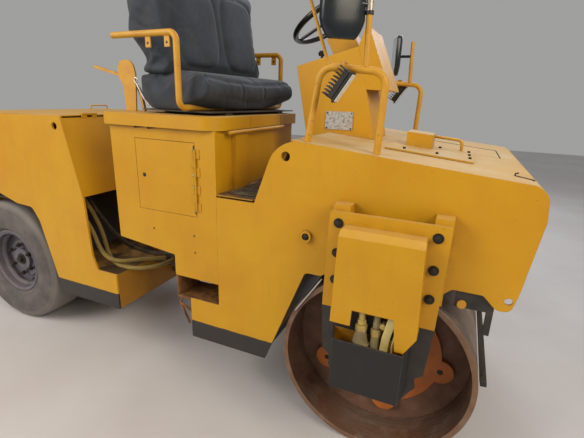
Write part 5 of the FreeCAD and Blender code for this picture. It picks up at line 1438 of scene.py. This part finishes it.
class ROLLER_OT_pivot(Maker):
    """Add the steering pivot's bolts and grease nipples and the cylinder's glands"""
    bl_idname = "roller.pivot"
    bl_label = "Pivot details"

    def make(self):
        bm = bmesh.new()
        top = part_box("pivot_pin")[1].z
        for i in range(4):
            angle = math.radians(45 + 90 * i)
            add_bolt(bm, Vector((0.040 * math.cos(angle), 0.040 * math.sin(angle), top)), (0, 0, 1), 0.013, i,
                     False)
        add_cone(bm, Vector((0, 0, top)), (0, 0, 1), 0.006, 0.004, 0, 0.014, 6)
        meshed("pivot_fasteners", bm, "zinc", "front_frame")
        bm = bmesh.new()
        add_cone(bm, at(-20, -200, 610), (1, 0, 0), 0.040, 0.040, -0.03, -0.004, 32)
        for x in (-250, -60):
            add_cone(bm, at(x, -200, 646), (0, 0, 1), 0.013, 0.013, -0.006, 0.016, 6)
            add_cone(bm, at(x, -200, 646), (0, 0, 1), 0.010, 0.010, 0.016, 0.026, 16)
        meshed("cylinder_ports", bm, "zinc", "steer_barrel")


class ROLLER_OT_rear_details(Maker):
    """Add the cheeks of the tail's hitch"""
    bl_idname = "roller.rear_details"
    bl_label = "Rear details"

    def make(self):
        bm = bmesh.new()
        low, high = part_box("rear_tail")
        for side in (-1, 1):
            inner, outer = sorted((side * 0.040, side * 0.060))
            add_slab(bm, [(low.x + 0.004, low.z + 0.02), (low.x + 0.004, low.z + 0.15),
                          (low.x, low.z + 0.15), (low.x, low.z + 0.02)], "xz", inner, outer)
        meshed("hitch_cheeks", bm, "chassis", "rear_frame")


HUB_TURN = math.radians(-8.3)


class ROLLER_OT_hub_details(Maker):
    """Bolt the drum's hub plates down and mark the hole in each lobe"""
    bl_idname = "roller.hub_details"
    bl_label = "Drum hub bolts"

    def make(self):
        low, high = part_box("drum_hubs")
        for side, name, face in ((-1, "right", low.y), (1, "left", high.y)):
            bolts = bmesh.new()
            holes = bmesh.new()
            for i in range(5):
                lobe = HUB_TURN + math.tau / 5 * i
                spot = Vector((DRUM_AXLE.x + 0.284 * math.cos(lobe), face, DRUM_R + 0.284 * math.sin(lobe)))
                add_cone(holes, spot, (0, side, 0), 0.013, 0.013, 0, 0.0015, 24)
                between = lobe + math.tau / 10
                spot = Vector((DRUM_AXLE.x + 0.223 * math.cos(between), face,
                               DRUM_R + 0.223 * math.sin(between)))
                add_bolt(bolts, spot, (0, side, 0), 0.026, i)
            meshed("hub_bolts_" + name, bolts, "rusty", "drum")
            meshed("hub_holes_" + name, holes, "oxide", "drum")


# Stage: a pale floor and a pale backdrop with soft light
class ROLLER_OT_stage(Maker):
    """Lay the pale floor and hang the soft lights"""
    bl_idname = "roller.stage"
    bl_label = "Stage"

    def make(self):
        bm = bmesh.new()
        half = 14.0
        corners = [(-half, -half, 0), (half, -half, 0), (half, half, 0), (-half, half, 0)]
        bm.faces.new([bm.verts.new(c) for c in corners])
        mesh = bpy.data.meshes.new("floor")
        bm.to_mesh(mesh)
        bm.free()
        floor = linked("floor", mesh)
        material, tree, place, direction = started("floor_concrete_pale")
        hue = blended(tree, speckle(tree, place, 900, 0.3, 0.7), linear("#C9C7C8"), linear("#BEBBBB"))
        ended(tree, {"Base Color": hue, "Roughness": 0.75})
        floor.data.materials.append(material)
        world = bpy.data.worlds.new("studio")
        world.use_nodes = True
        background = world.node_tree.nodes["Background"]
        background.inputs["Color"].default_value = linear("#E4E4E2")
        background.inputs["Strength"].default_value = 0.45
        bpy.context.scene.world = world
        # Colours are shown as they are, since the amber enamel goes dull under a filmic curve
        bpy.context.scene.view_settings.view_transform = "Standard"
        # place, point aimed at, size, watts, colour
        lamps = [
            ((4.6, -2.6, 3.8), (0.8, -0.4, 0.9), 2.6, 170.0, "#FFF1DC"),
            ((-3.2, -4.2, 3.8), (-0.6, 0.0, 0.8), 3.5, 250.0, "#FFF6EC"),
            ((0.5, 4.5, 4.5), (0.0, 0.0, 0.8), 4.0, 150.0, "#F2F5FF"),
        ]
        for i, (place, aim, size, power, tint) in enumerate(lamps):
            data = bpy.data.lights.new(f"soft_light_{i}", "AREA")
            data.color = linear(tint)[:3]
            data.shape = "SQUARE"
            data.size = size
            data.energy = power
            light = linked(f"soft_light_{i}", data)
            light.matrix_world = facing(Vector(place), Vector(place) - Vector(aim))


class ROLLER_PT_panel(bpy.types.Panel):
    """Lists the pieces in the order in which they are made"""
    bl_label = "Road roller"
    bl_idname = "ROLLER_PT_panel"
    bl_space_type = "VIEW_3D"
    bl_region_type = "UI"
    bl_category = "Roller"

    def draw(self, context):
        column = self.layout.column()
        for group in (context.scene.roller_sizes, context.scene.roller_colours):
            for key in group.__annotations__:
                column.prop(group, key)
        for maker in MAKERS:
            column.operator(maker.bl_idname)


MAKERS = [
    ROLLER_OT_camera, ROLLER_OT_hoses, ROLLER_OT_finishes, ROLLER_OT_tyres, ROLLER_OT_wheel_trim,
    ROLLER_OT_seat, ROLLER_OT_bolts, ROLLER_OT_covers, ROLLER_OT_lamps, ROLLER_OT_mirrors,
    ROLLER_OT_console, ROLLER_OT_door, ROLLER_OT_floor_plates, ROLLER_OT_handles, ROLLER_OT_pivot,
    ROLLER_OT_rear_details, ROLLER_OT_hub_details, ROLLER_OT_stage,
]


def register():
    for group in (RollerSizes, RollerColours, *MAKERS, ROLLER_PT_panel):
        bpy.utils.register_class(group)
    bpy.types.Scene.roller_sizes = bpy.props.PointerProperty(type=RollerSizes)
    bpy.types.Scene.roller_colours = bpy.props.PointerProperty(type=RollerColours)


def unregister():
    del bpy.types.Scene.roller_colours
    del bpy.types.Scene.roller_sizes
    for group in (ROLLER_PT_panel, *reversed(MAKERS), RollerColours, RollerSizes):
        bpy.utils.unregister_class(group)


def main():
    register()
    for maker in MAKERS:
        family, name = maker.bl_idname.split(".")
        getattr(getattr(bpy.ops, family), name)()


if __name__ == "__main__":
    main()
